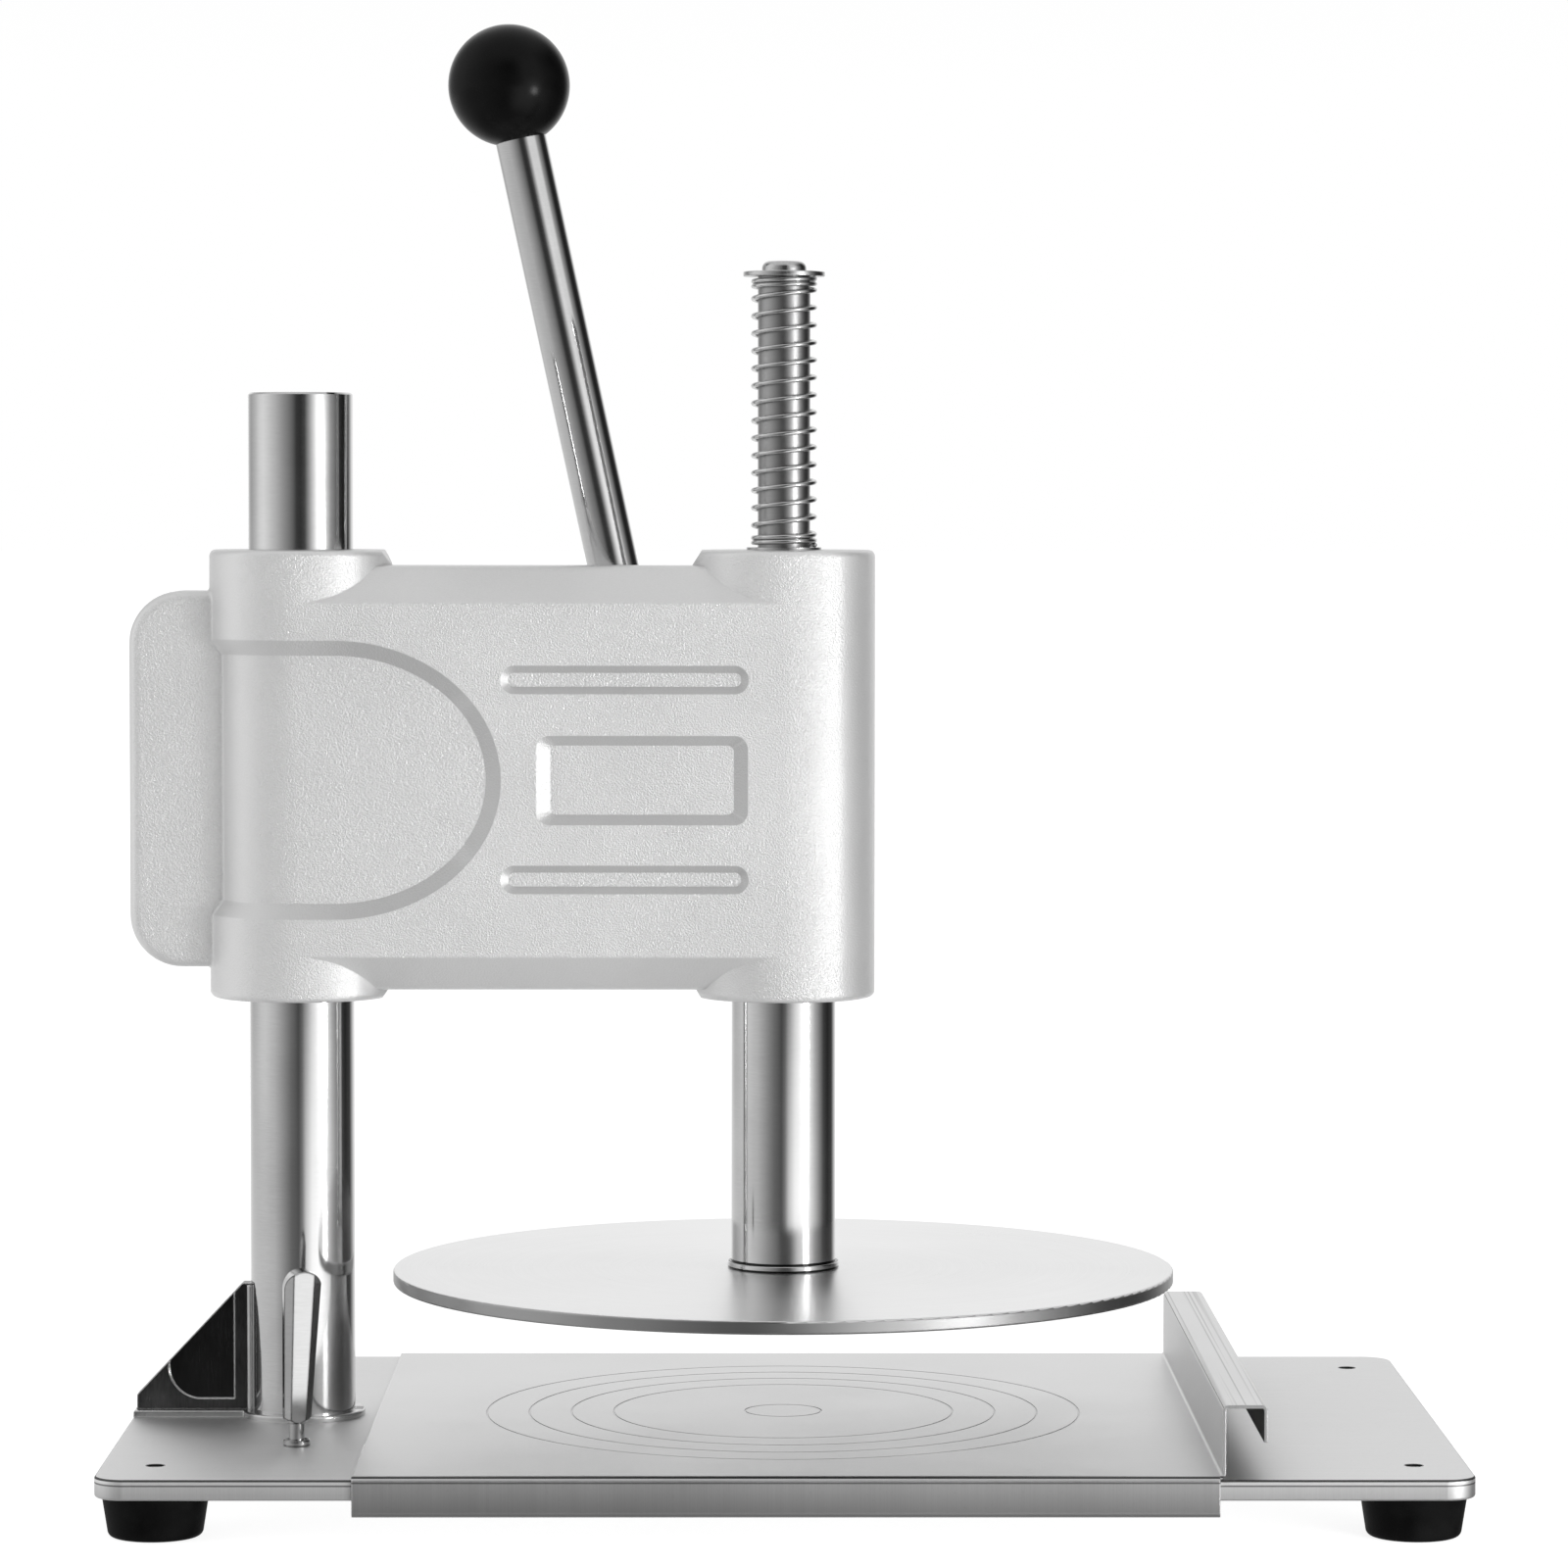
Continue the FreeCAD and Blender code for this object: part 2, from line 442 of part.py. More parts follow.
def dee_relief():
    """Shallow relief with sloped walls, from the ears round the post boss and along the face."""
    flat = Part.makeLoft([dee_outline(-BOSS_R, 0), dee_outline(DEE_DEPTH - BOSS_R, DEE_WALL)], True, True)
    inner_r, past_r = BOSS_R - DEE_DEPTH, BOSS_R + PAST
    ring = [(inner_r, DEE_WALL - DEE_HALF), (BOSS_R, -DEE_HALF), (past_r, -DEE_HALF),
            (past_r, DEE_HALF), (BOSS_R, DEE_HALF), (inner_r, DEE_HALF - DEE_WALL)]
    face = Part.Face(Part.makePolygon([V(POST_X - r, 0, FACE_MID + z) for r, z in ring + ring[:1]]))
    return flat.fuse(face.revolve(V(POST_X, 0, 0), Z_AXIS, 90))


def pocket(left, right, half, corner_r, walls, depth, mid_z):
    """Shallow pocket in the front face with round corners and sloped walls."""
    inner_r = min(corner_r / 2, half - walls[1] - HOLE_SPARE / 4)
    wires = []
    for y, (dx, dz), r in ((-BOSS_R, (0, 0), corner_r), (depth - BOSS_R, walls, inner_r)):
        bottom, top = mid_z - half + dz, mid_z + half - dz
        block = rounded_block(left + dx, right - dx, y, y + PAST, bottom, top, r, Y_AXIS)
        wires.append(min(block.Faces, key=lambda f: f.CenterOfMass.y).OuterWire)
    return Part.makeLoft(wires, True, True)


def front_reliefs():
    """Everything sunk into the front: the D, the two bars and the panel between them."""
    cuts = [dee_relief()]
    for offset in BAR_OFFSETS:
        mid_z = FACE_MID + offset
        cuts.append(pocket(BAR_LEFT, BAR_RIGHT, BAR_HALF, BAR_CORNER_R, BAR_WALLS, BAR_DEPTH, mid_z))
    panel = (PANEL_LEFT, PANEL_RIGHT, PANEL_HALF, PANEL_CORNER_R, PANEL_WALLS, PANEL_DEPTH, FACE_MID)
    return cuts + [pocket(*panel)]


def gear_chamber():
    """Room for the pinion, open at the back, and the seat of its cover."""
    bottom, top = FACE_MID - CAVITY_HALF, FACE_MID + CAVITY_HALF
    back, corner_r = BOSS_R + PAST, CAVITY_CORNER_R
    chamber = rounded_block(CAVITY_LEFT, CAVITY_RIGHT, CAVITY_FRONT, back, bottom, top, corner_r, Y_AXIS)
    chamber = chamber.cut(disc_y(PINION_X, PINION_Z, CAVITY_FRONT - PAST, -BUSH_FACE, BUSH_BOSS_R))
    bottom, top = FACE_MID - COVER_HALF, FACE_MID + COVER_HALF
    seat = rounded_block(COVER_LEFT, COVER_RIGHT, BOSS_R - COVER_T, back, bottom, top, COVER_CORNER_R, Y_AXIS)
    return [chamber, seat]


def screw_holes():
    """Threaded holes for the cover, and the clamp holes: threaded in front, plain at the back."""
    holes = []
    for x, z in cover_screw_places():
        floor = BOSS_R - COVER_SCREW_LENGTH - HOLE_SPARE
        holes.append(disc_y(x, z, floor, BOSS_R, COVER_SCREW_R + THREAD_FIT))
    for z in clamp_heights():
        holes.append(disc_y(CLAMP_X, z, -CLAMP_THREAD - HOLE_SPARE, 0, CLAMP_R + THREAD_FIT))
        holes.append(disc_y(CLAMP_X, z, 0, EAR_HALF + PAST, CLAMP_R + SCREW_GAP))
    return holes


def bores():
    """The post's bore and slit, the stepped bore of the ram and the front bush's hole."""
    return [disc_z(POST_X, 0, 0, POST_TOP, POST_R + SLIDE_FIT),
            box(EAR_LEFT - PAST, POST_X, -EAR_SLIT / 2, EAR_SLIT / 2, 0, POST_TOP),
            disc_z(0, 0, 0, RAM_BUSH_TOP, RAM_BUSH_R + THREAD_FIT),
            disc_z(0, 0, 0, ROD_BUSH_BOTTOM, RAM_BORE_R),
            disc_z(0, 0, 0, POST_TOP, ROD_BUSH_R + THREAD_FIT),
            disc_y(PINION_X, PINION_Z, BUSH_FLOOR, 0, BUSH_R + THREAD_FIT)]


def is_ear_seam(edge):
    """True for an edge where an ear meets the post boss."""
    at = middle(edge)
    across = math.hypot(at.x - POST_X, at.y)
    on_boss = BOSS_R - DEE_DEPTH - NEAR < across < BOSS_R + NEAR
    return on_boss and at.x < POST_X and EAR_HALF - NEAR < abs(at.y) < EAR_HALF + NEAR


def head_housing():
    """The casting: two bosses, the slab and the split ears, less all its hollows."""
    body = head_boss(POST_X, 1).fuse([head_boss(0, -1), head_slab()]).removeSplitter()
    for relief in front_reliefs():
        body = body.cut(relief)
    body = rounded(body.fuse(clamp_ears()).removeSplitter(), EAR_SEAM_R, is_ear_seam)
    for hollow in gear_chamber() + screw_holes() + bores():
        body = body.cut(hollow)
    return body


def clamp_heights():
    return [HEAD_MID - CLAMP_SPACING / 2, HEAD_MID + CLAMP_SPACING / 2]


def cover_screw_places():
    return [(x, FACE_MID + z) for x in COVER_SCREW_X for z in (-COVER_SCREW_Z, COVER_SCREW_Z)]


def head_cover():
    """Plate over the gear chamber; its hub holds the rear bush."""
    left, right, half = COVER_LEFT + COVER_GAP, COVER_RIGHT - COVER_GAP, COVER_HALF - COVER_GAP
    bottom, top, corner_r = FACE_MID - half, FACE_MID + half, COVER_CORNER_R - COVER_GAP
    plate = rounded_block(left, right, BOSS_R - COVER_T, BOSS_R, bottom, top, corner_r, Y_AXIS)
    outside = BOSS_R + COLLAR_OUT
    hub = disc_y(PINION_X, PINION_Z, BUSH_FACE, outside, BUSH_BOSS_R)
    hub = rounded(hub, COLLAR_EDGE_R, lambda e: middle(e).y > outside - NEAR)
    plate = plate.fuse(hub).removeSplitter()
    for x, z in cover_screw_places():
        plate = plate.cut(disc_y(x, z, 0, BOSS_R + PAST, COVER_SCREW_R + SCREW_GAP))
    return plate.cut(disc_y(PINION_X, PINION_Z, 0, outside + PAST, BUSH_R + THREAD_FIT))


def cover_screws():
    size = (BOSS_R, COVER_SCREW_LENGTH, COVER_SCREW_R, COVER_HEAD_R, COVER_HEAD)
    return group([screw_y(x, z, *size) for x, z in cover_screw_places()])


def clamp_screws():
    seat = EAR_HALF + CLAMP_WASHER_T
    size = (seat, seat + CLAMP_THREAD, CLAMP_R, CLAMP_HEAD_R, CLAMP_HEAD)
    return group([screw_y(CLAMP_X, z, *size) for z in clamp_heights()])


def clamp_washers():
    outside, inner = EAR_HALF + CLAMP_WASHER_T, CLAMP_R + THREAD_FIT
    return group([ring_y(CLAMP_X, z, EAR_HALF, outside, CLAMP_WASHER_R, inner) for z in clamp_heights()])


def ram_bush_lower():
    return ring_z(0, 0, HEAD_BOTTOM, RAM_BUSH_TOP, RAM_BUSH_R, RAM_R + SLIDE_FIT)


def ram_bush_upper():
    return ring_z(0, 0, ROD_BUSH_BOTTOM, HEAD_TOP, ROD_BUSH_R, ROD_R + SLIDE_FIT)


def shaft_bush_front():
    return ring_y(PINION_X, PINION_Z, BUSH_FLOOR, -BUSH_FACE, BUSH_R, SHAFT_R + SLIDE_FIT)


def shaft_bush_back():
    return ring_y(PINION_X, PINION_Z, BUSH_FACE, BOSS_R + COLLAR_OUT, BUSH_R, SHAFT_R + SLIDE_FIT)


# ---- return spring ----
SEAT_T, SEAT_R = 0.8, 11.5
SPRING_R, WIRE_R, SPRING_TURNS = 9.5, 0.75, 15.5


def spring_seat():
    return ring_z(0, 0, HEAD_TOP, HEAD_TOP + SEAT_T, SEAT_R, ROD_R + SLIDE_FIT)


def return_spring():
    """Compression spring between the seat on the head and the washer on the rod."""
    bottom, top = HEAD_TOP + SEAT_T + WIRE_R, SPRING_TOP - WIRE_R
    pitch = (top - bottom) / SPRING_TURNS
    helix = Part.makeHelix(pitch, top - bottom, SPRING_R)
    helix.translate(V(0, 0, bottom))
    climb = V(0, 2 * math.pi * SPRING_R, pitch)
    wire_end = Part.Wire(Part.makeCircle(WIRE_R, V(SPRING_R, 0, bottom), climb))
    return Part.Wire(helix.Edges).makePipeShell([wire_end], True, True)


# ---- ram ----
RACK_GAPS = range(-2, 7)
RACK_FLAT_BOTTOM = 196.0
ADDENDUM, DEDENDUM = GEAR_MODULE, 1.25 * GEAR_MODULE
PRESSURE_ANGLE = math.radians(20)
ROD_THREAD_R, ROD_THREAD = 6.0, 20.0
PLATE_SCREW_R, PLATE_SCREW_HEAD_R, PLATE_SCREW_LENGTH = 4.0, 8.0, 24.0
PLATE_SOCKET, PLATE_SOCKET_FLATS = 2.5, 5.0
PLATE_RING_R, PLATE_RING_T, PLATE_RING_EDGE_R = 17.1, 2.0, 0.5
TOP_WASHER_R, TOP_WASHER_T, TOP_WASHER_EDGE_R = 12.5, 1.5, 0.3
CAP_R, CAP_HEIGHT, CAP_DOME_R, CAP_SCREW_R, CAP_SCREW_LENGTH = 6.8, 3.2, 2.2, 3.0, 16.0
PLATE_BOTTOM = PLATE_TOP - PLATE_THICKNESS


def rack_gap(index):
    """The space between two rack teeth, straight-sided and cut right across the bar."""
    mid_z = PINION_Z + index * math.pi * GEAR_MODULE
    outline = []
    for x in (RACK_PITCH_X + DEDENDUM, RACK_PITCH_X - ADDENDUM - PAST):
        half = math.pi * GEAR_MODULE / 4 - (x - RACK_PITCH_X) * math.tan(PRESSURE_ANGLE)
        outline.append((x, half))
    (root_x, root), (out_x, out) = outline
    points = [(root_x, root), (root_x, -root), (out_x, -out), (out_x, out)]
    return prism([V(x, -RAM_R - PAST, mid_z + z) for x, z in points], V(0, 2 * (RAM_R + PAST), 0))


def ram_shaft():
    """Round bar with the rack cut in its side, and a threaded hole in each end."""
    bar = disc_z(0, 0, PLATE_TOP, RAM_TOP, RAM_R)
    bar = bevelled(bar, EDGE_BREAK, lambda e: middle(e).z > RAM_TOP - NEAR)
    flat = RACK_PITCH_X - ADDENDUM
    bar = bar.cut(box(-RAM_R - PAST, flat, -RAM_R, RAM_R, RACK_FLAT_BOTTOM, RAM_TOP + PAST))
    for index in RACK_GAPS:
        bar = bar.cut(rack_gap(index))
    rod_hole = RAM_TOP - ROD_THREAD - HOLE_SPARE
    screw_hole = PLATE_BOTTOM + PLATE_SCREW_LENGTH + HOLE_SPARE
    bar = bar.cut(disc_z(0, 0, rod_hole, RAM_TOP + PAST, ROD_THREAD_R + THREAD_FIT))
    return bar.cut(disc_z(0, 0, 0, screw_hole, PLATE_SCREW_R + THREAD_FIT))


def spring_rod():
    """Slim rod above the ram, threaded into it, that carries the spring."""
    rod = disc_z(0, 0, RAM_TOP, SPRING_TOP, ROD_R)
    rod = rod.fuse(disc_z(0, 0, RAM_TOP - ROD_THREAD, RAM_TOP, ROD_THREAD_R))
    return rod.cut(disc_z(0, 0, SPRING_TOP - CAP_SCREW_LENGTH, SPRING_TOP + PAST, CAP_SCREW_R + THREAD_FIT))


def countersink(grow):
    """The plate screw's cone, grown by a clearance."""
    wide, narrow = PLATE_SCREW_HEAD_R + grow, PLATE_SCREW_R + grow
    return Part.makeCone(wide, narrow, wide - narrow, V(0, 0, PLATE_BOTTOM), Z_AXIS)


def press_plate():
    """The round pressing plate."""
    plate = disc_z(0, 0, PLATE_BOTTOM, PLATE_TOP, PLATE_R)
    plate = rounded(plate, EDGE_BREAK, lambda e: e.isClosed()).cut(countersink(THREAD_FIT))
    return plate.cut(disc_z(0, 0, 0, PLATE_TOP + PAST, PLATE_SCREW_R + THREAD_FIT))


def plate_screw():
    shank = disc_z(0, 0, PLATE_BOTTOM + PAST, PLATE_BOTTOM + PLATE_SCREW_LENGTH, PLATE_SCREW_R)
    start = V(0, 0, PLATE_BOTTOM - PAST)
    return countersink(0).fuse(shank).cut(hexagon(start, Z_AXIS, PLATE_SOCKET + PAST, PLATE_SOCKET_FLATS))


def plate_ring():
    """Collar round the ram's foot, on top of the plate."""
    bore_r, top = RAM_R + THREAD_FIT, PLATE_TOP + PLATE_RING_T
    ring = ring_z(0, 0, PLATE_TOP, top, PLATE_RING_R, bore_r)
    return rounded(ring, PLATE_RING_EDGE_R, lambda e: middle(e).z > top - NEAR and e.Curve.Radius > bore_r)


def spring_washer():
    washer = ring_z(0, 0, SPRING_TOP, SPRING_TOP + TOP_WASHER_T, TOP_WASHER_R, CAP_SCREW_R + THREAD_FIT)
    return rounded(washer, TOP_WASHER_EDGE_R, lambda e: e.isClosed() and e.Curve.Radius > CAP_R)


def cap_screw():
    """Domed screw that holds the washer on the rod."""
    seat = SPRING_TOP + TOP_WASHER_T
    top = seat + CAP_HEIGHT
    head = rounded(disc_z(0, 0, seat, top, CAP_R), CAP_DOME_R, lambda e: middle(e).z > top - NEAR)
    return head.fuse(disc_z(0, 0, seat - CAP_SCREW_LENGTH, seat, CAP_SCREW_R))


# ---- pinion, shaft and lever ----
BACKLASH, FLANK_STEPS = 0.2, 4
SHAFT_BACK, KEY_WIDTH, KEY_DEPTH, KEY_PROUD = 53.0, 5.0, 2.6, 2.1
KEY_INSETS = (1.0, 2.0)
THRUST_R = 11.0
HUB_R, HUB_HALF, HUB_BEVEL = 17.0, 11.0, 1.0
SOCKET_R, SOCKET_TOP, SOCKET_FLOOR, SOCKET_BEVEL = 10.9, 32.0, 13.0, 0.8
HUB_WASHER_R, HUB_WASHER_T = 10.0, 1.6
HUB_SCREW_R, HUB_SCREW_LENGTH, HUB_SCREW_HEAD_R, HUB_SCREW_HEAD = 3.0, 15.0, 5.0, 6.0
KNOB_FLAT_R, KNOB_STUD_R, KNOB_STUD, INSERT_R, INSERT_HOLE, INSERT_SUNK = 8.0, 5.0, 18.0, 7.5, 20.0, 0.5
TILT = math.radians(LEVER_TILT)
LEVER_AXIS = V(-math.sin(TILT), 0, math.cos(TILT))
LEVER_PIVOT = V(PINION_X, LEVER_Y, PINION_Z)
KNOB_NECK = LEVER_LENGTH - math.sqrt(KNOB_R**2 - KNOB_FLAT_R**2)


def involute(angle):
    return math.tan(angle) - angle


def tooth_flank(tooth_angle, side):
    """Points up one side of a tooth, from the root circle to the tip."""
    base_r = PITCH_R * math.cos(PRESSURE_ANGLE)
    half = (math.pi * GEAR_MODULE / 2 - BACKLASH) / (2 * PITCH_R) + involute(PRESSURE_ANGLE)
    points = [circle_point(PITCH_R - DEDENDUM, tooth_angle + side * half)]
    for i in range(FLANK_STEPS + 1):
        r = base_r + (PITCH_R + ADDENDUM - base_r) * i / FLANK_STEPS
        points.append(circle_point(r, tooth_angle + side * (half - involute(math.acos(base_r / r)))))
    return points


def circle_point(r, angle):
    return V(r * math.cos(angle), 0, r * math.sin(angle))


def pinion_gear():
    """Spur gear with involute teeth; one tooth points straight at the ram."""
    curves, previous = [], None
    step = 2 * math.pi / GEAR_TEETH
    flanks = [(tooth_flank(i * step, -1), tooth_flank(i * step, 1), i * step) for i in range(GEAR_TEETH)]
    for i, (rise, fall, angle) in enumerate(flanks):
        for points in (rise, fall):
            flank = Part.BSplineCurve()
            flank.interpolate(points[1:])
            curves += [Part.LineSegment(points[0], points[1]), flank]
        curves.append(Part.Arc(rise[-1], circle_point(PITCH_R + ADDENDUM, angle), fall[-1]))
        next_rise = flanks[(i + 1) % GEAR_TEETH][0]
        curves.append(Part.Arc(fall[0], circle_point(PITCH_R - DEDENDUM, angle + step / 2), next_rise[0]))
    gear = solid_from(curves, V(0, 2 * PINION_HALF, 0))
    gear.translate(V(PINION_X, -PINION_HALF, PINION_Z))
    past = PINION_HALF + PAST
    gear = gear.cut(disc_y(PINION_X, PINION_Z, -past, past, SHAFT_R + THREAD_FIT))
    return gear.cut(key(-past, past, THREAD_FIT))


def key(y0, y1, grow):
    """A square key that stands out of the shaft towards +X."""
    x0, x1 = PINION_X + SHAFT_R - KEY_DEPTH, PINION_X + SHAFT_R + KEY_PROUD
    half = KEY_WIDTH / 2 + grow
    return box(x0 - grow, x1 + grow, y0, y1, PINION_Z - half, PINION_Z + half)


def pinion_shaft():
    """Shaft through both bushes and the lever's hub, with two keyways and a threaded end."""
    shaft = disc_y(PINION_X, PINION_Z, BUSH_FLOOR + HOLE_SPARE, SHAFT_BACK, SHAFT_R)
    shaft = bevelled(shaft, EDGE_BREAK, lambda e: e.isClosed())
    for y0, y1 in key_spans():
        shaft = shaft.cut(key(y0, y1, THREAD_FIT))
    hole = SHAFT_BACK - HUB_SCREW_LENGTH
    return shaft.cut(disc_y(PINION_X, PINION_Z, hole, SHAFT_BACK + PAST, HUB_SCREW_R + THREAD_FIT))


def key_spans():
    """Where the pinion's key and the hub's key start and end along the shaft."""
    gear, hub = PINION_HALF - KEY_INSETS[0], HUB_HALF - KEY_INSETS[1]
    return [(-gear, gear), (LEVER_Y - hub, LEVER_Y + hub)]


def shaft_keys():
    return group([key(y0 + THREAD_FIT, y1 - THREAD_FIT, 0) for y0, y1 in key_spans()])


def thrust_washers():
    """A washer on each side of the pinion."""
    inner, outside = SHAFT_R + THREAD_FIT, PINION_HALF + WASHER_T
    front = ring_y(PINION_X, PINION_Z, -outside, -PINION_HALF, THRUST_R, inner)
    back = ring_y(PINION_X, PINION_Z, PINION_HALF, outside, THRUST_R, inner)
    return group([front, back])


def along_lever(start, end, r):
    """A round bar on the lever's centre line; distances run from the pivot."""
    return Part.makeCylinder(r, end - start, LEVER_PIVOT + LEVER_AXIS * start, LEVER_AXIS)


def lever_hub():
    """Hub on the shaft's end, with a socket for the lever's rod."""
    y0, y1 = LEVER_Y - HUB_HALF, LEVER_Y + HUB_HALF
    hub = disc_y(PINION_X, PINION_Z, y0, y1, HUB_R)
    hub = bevelled(hub, HUB_BEVEL, lambda e: e.isClosed())
    socket = bevelled(along_lever(0, SOCKET_TOP, SOCKET_R), SOCKET_BEVEL, lambda e: e.isClosed())
    hub = hub.fuse(socket).removeSplitter()
    hub = hub.cut(disc_y(PINION_X, PINION_Z, y0 - PAST, y1 + PAST, SHAFT_R + THREAD_FIT))
    hub = hub.cut(key(y0 - PAST, y1 + PAST, THREAD_FIT))
    return hub.cut(along_lever(SOCKET_FLOOR, SOCKET_TOP + PAST, LEVER_R + THREAD_FIT))


def hub_washer():
    seat = LEVER_Y + HUB_HALF
    return ring_y(PINION_X, PINION_Z, seat, seat + HUB_WASHER_T, HUB_WASHER_R, HUB_SCREW_R + THREAD_FIT)


def hub_screw():
    seat = LEVER_Y + HUB_HALF + HUB_WASHER_T
    return screw_y(PINION_X, PINION_Z, seat, HUB_SCREW_LENGTH, HUB_SCREW_R, HUB_SCREW_HEAD_R, HUB_SCREW_HEAD)


def lever_rod():
    """Plain round rod with a threaded stud for the knob."""
    rod = along_lever(SOCKET_FLOOR + THREAD_FIT, KNOB_NECK, LEVER_R)
    return rod.fuse(along_lever(KNOB_NECK - PAST, KNOB_NECK + KNOB_STUD, KNOB_STUD_R))


def ball_knob():
    """Ball with a flat where the rod meets it and a hole for its insert."""
    ball = Part.makeSphere(KNOB_R, LEVER_PIVOT + LEVER_AXIS * LEVER_LENGTH)
    ball = ball.cut(along_lever(KNOB_NECK - KNOB_R, KNOB_NECK, KNOB_R))
    return ball.cut(along_lever(KNOB_NECK - PAST, KNOB_NECK + INSERT_HOLE, INSERT_R + THREAD_FIT))


def knob_insert():
    """Threaded sleeve in the ball, a little below its flat."""
    sleeve = along_lever(KNOB_NECK + INSERT_SUNK, KNOB_NECK + INSERT_HOLE - HOLE_SPARE, INSERT_R)
    return sleeve.cut(along_lever(KNOB_NECK, KNOB_NECK + KNOB_STUD + HOLE_SPARE, KNOB_STUD_R + THREAD_FIT))


PARTS = [
    base_plate, post, post_bolt, post_washer, post_foot_plate, gusset_plate, gusset_welds, lock_handle,
    lock_stud, lock_washer, lock_nut, tray, head_housing, head_cover, cover_screws, clamp_screws,
    clamp_washers, ram_bush_lower, ram_bush_upper, shaft_bush_front, shaft_bush_back, spring_seat,
    return_spring, ram_shaft, spring_rod, press_plate, plate_screw, plate_ring, spring_washer, cap_screw,
    pinion_gear, pinion_shaft, shaft_keys, thrust_washers, lever_hub, hub_washer, hub_screw, lever_rod,
    ball_knob, knob_insert,
]

os.makedirs("parts", exist_ok=True)
for make in PARTS:
    save(make.__name__, make())
for name, place in FOOT_PLACES.items():
    save(name, foot(*place))
save("foot_screws", group([foot_screw(*place) for place in FOOT_PLACES.values()]))
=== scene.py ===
"""Looks of a lever press with a round plate: studio, materials and the finer return spring. Metres, +Z up."""

import json
import math

import bpy
from mathutils import Matrix, Vector


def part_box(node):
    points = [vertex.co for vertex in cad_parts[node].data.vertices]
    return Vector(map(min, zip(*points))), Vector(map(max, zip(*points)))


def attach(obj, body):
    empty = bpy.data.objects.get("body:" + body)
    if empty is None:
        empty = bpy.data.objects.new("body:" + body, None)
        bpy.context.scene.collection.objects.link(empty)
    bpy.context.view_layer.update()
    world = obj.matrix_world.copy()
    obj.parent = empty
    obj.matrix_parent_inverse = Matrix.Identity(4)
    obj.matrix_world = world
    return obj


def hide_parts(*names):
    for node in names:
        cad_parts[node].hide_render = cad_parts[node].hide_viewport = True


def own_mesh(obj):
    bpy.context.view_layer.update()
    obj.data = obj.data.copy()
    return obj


# ---- camera: where it stands and which way it looks ----
CAMERA_PLACE = (-0.01071, -1.77445, 0.30341)
CAMERA_YAW, CAMERA_PITCH, CAMERA_ROLL = 0.00609, 0.04963, 0.00095
LENS, SENSOR = 132.811, 36.0           # millimetres
CLIP_START, CLIP_END = 0.05, 50

# ---- studio: brightness all round the horizon, by angle to the right of the camera, in degrees ----
ROUND_LIGHT = [
    (-180, 1.0), (-160, 1.0), (-150, 0.62), (-134, 0.48), (-114, 0.68), (-99, 0.92), (-86, 1.0),
    (-74, 0.89), (-63, 0.755), (-52, 0.63), (-42, 0.5), (-33, 0.385), (-23, 0.28), (-14, 0.18),
    (-5, 0.055), (5, 0.037), (14, 0.08), (23, 0.43), (33, 1.0), (42, 1.75), (52, 1.75), (63, 0.98),
    (74, 0.43), (86, 0.23), (99, 0.04), (114, 0.015), (134, 0.06), (152, 0.8), (160, 1.0), (180, 1.0),
]
TABLE_LIGHT = [
    (-180, 0.9), (-60, 0.6), (-30, 0.26), (-20, 0.16), (-4, 0.13), (4, 0.36), (12, 1.05), (25, 1.6),
    (45, 1.6), (70, 0.9), (86, 0.4), (99, 0.12), (114, 0.04), (134, 0.08), (160, 0.9), (180, 0.9),
]
BRIGHTEST = 2.0
OVERHEAD, UNDERNEATH = 0.75, 0.3
# The round light's limit, and the elevations over which it comes in, in degrees.
CAP, CAP_START, CAP_END = 0.95, 4, 11
FADE_START, FADE_END = 30, 62          # elevations over which the round light gives way, in degrees
TABLE_START, TABLE_END = 3, 8          # depths below the horizon where the table takes over, in degrees
FLOOR_GLOW, FLOOR_HALF = 0.85, 30.0

# ---- lamps: place, target, side, watts ----
FILL_LIGHTS = {
    "fill_front": ((0.6, -0.74, 0.17), (-0.05, 0.0, 0.2), 0.35, 4.4),
    "fill_right": ((1.2, -1.0, 0.25), (0.0, 0.0, 0.2), 0.5, 0.5),
    "fill_left": ((-1.5, -0.7, 0.25), (0.0, 0.0, 0.2), 0.5, 6.0),
}
SPARK_LIGHT = ((1.17, -0.94, 0.12), (-0.1, 0.0, 0.43), 0.28, 5.0)

# ---- places on the object where a material changes, in metres; strengths and greys from 0 to 1 ----
# Sides of the base and the tray: painted shade darkens them towards the foot.
SKIRT_BOTTOM, SKIRT_TOP, SKIRT_PAINTED_SHADE = 0.0085, 0.0195, 0.5
# Their tops, and how strong the painted highlight on their edges is.
BASE_TOP, TRAY_TOP, SHEET_EDGE_HIGHLIGHT = 0.0205, 0.0216, 0.6
# Painted shade and highlight lines on the sides: start and end below the top, strength, grey.
PAINTED_EDGE_LINES = ((0.0001, 0.0007, 0.9, 0.04), (0.0007, 0.0016, 0.8, 0.97), (0.0016, 0.0021, 0.7, 0.1))
# No painted edge highlights this near the middle, where the tray has its rings.
RINGS_R = 0.112
# The tray's grip: the height above which level faces belong to it, and the room of its fold, which gets
# painted shade.
GRIP_Z, HOOK_X, HOOK_Z = 0.035, (0.1262, 0.1386), (0.0225, 0.0414)
# Screw holes in the base, whose walls and rims get painted shade, by their distance from the middle, and a
# little more than their radius.
HOLE_X, HOLE_Y, HOLE_R = 0.184, 0.095, 0.0029
# Heights inside the base plate, where small metal parts get painted shade.
SUNK_SHADE_Z = (0.0148, 0.02)
# Shallow reliefs on the head, whose walls get painted shade: middle height of its face, and how far from it a
# wall still counts.
HEAD_FACE_MID, RELIEF_REACH = 0.21765, 0.044
# Walls facing left count in front of this Y and right of this X.
RELIEF_FLOOR, RELIEF_LEFT = -0.0248, -0.12
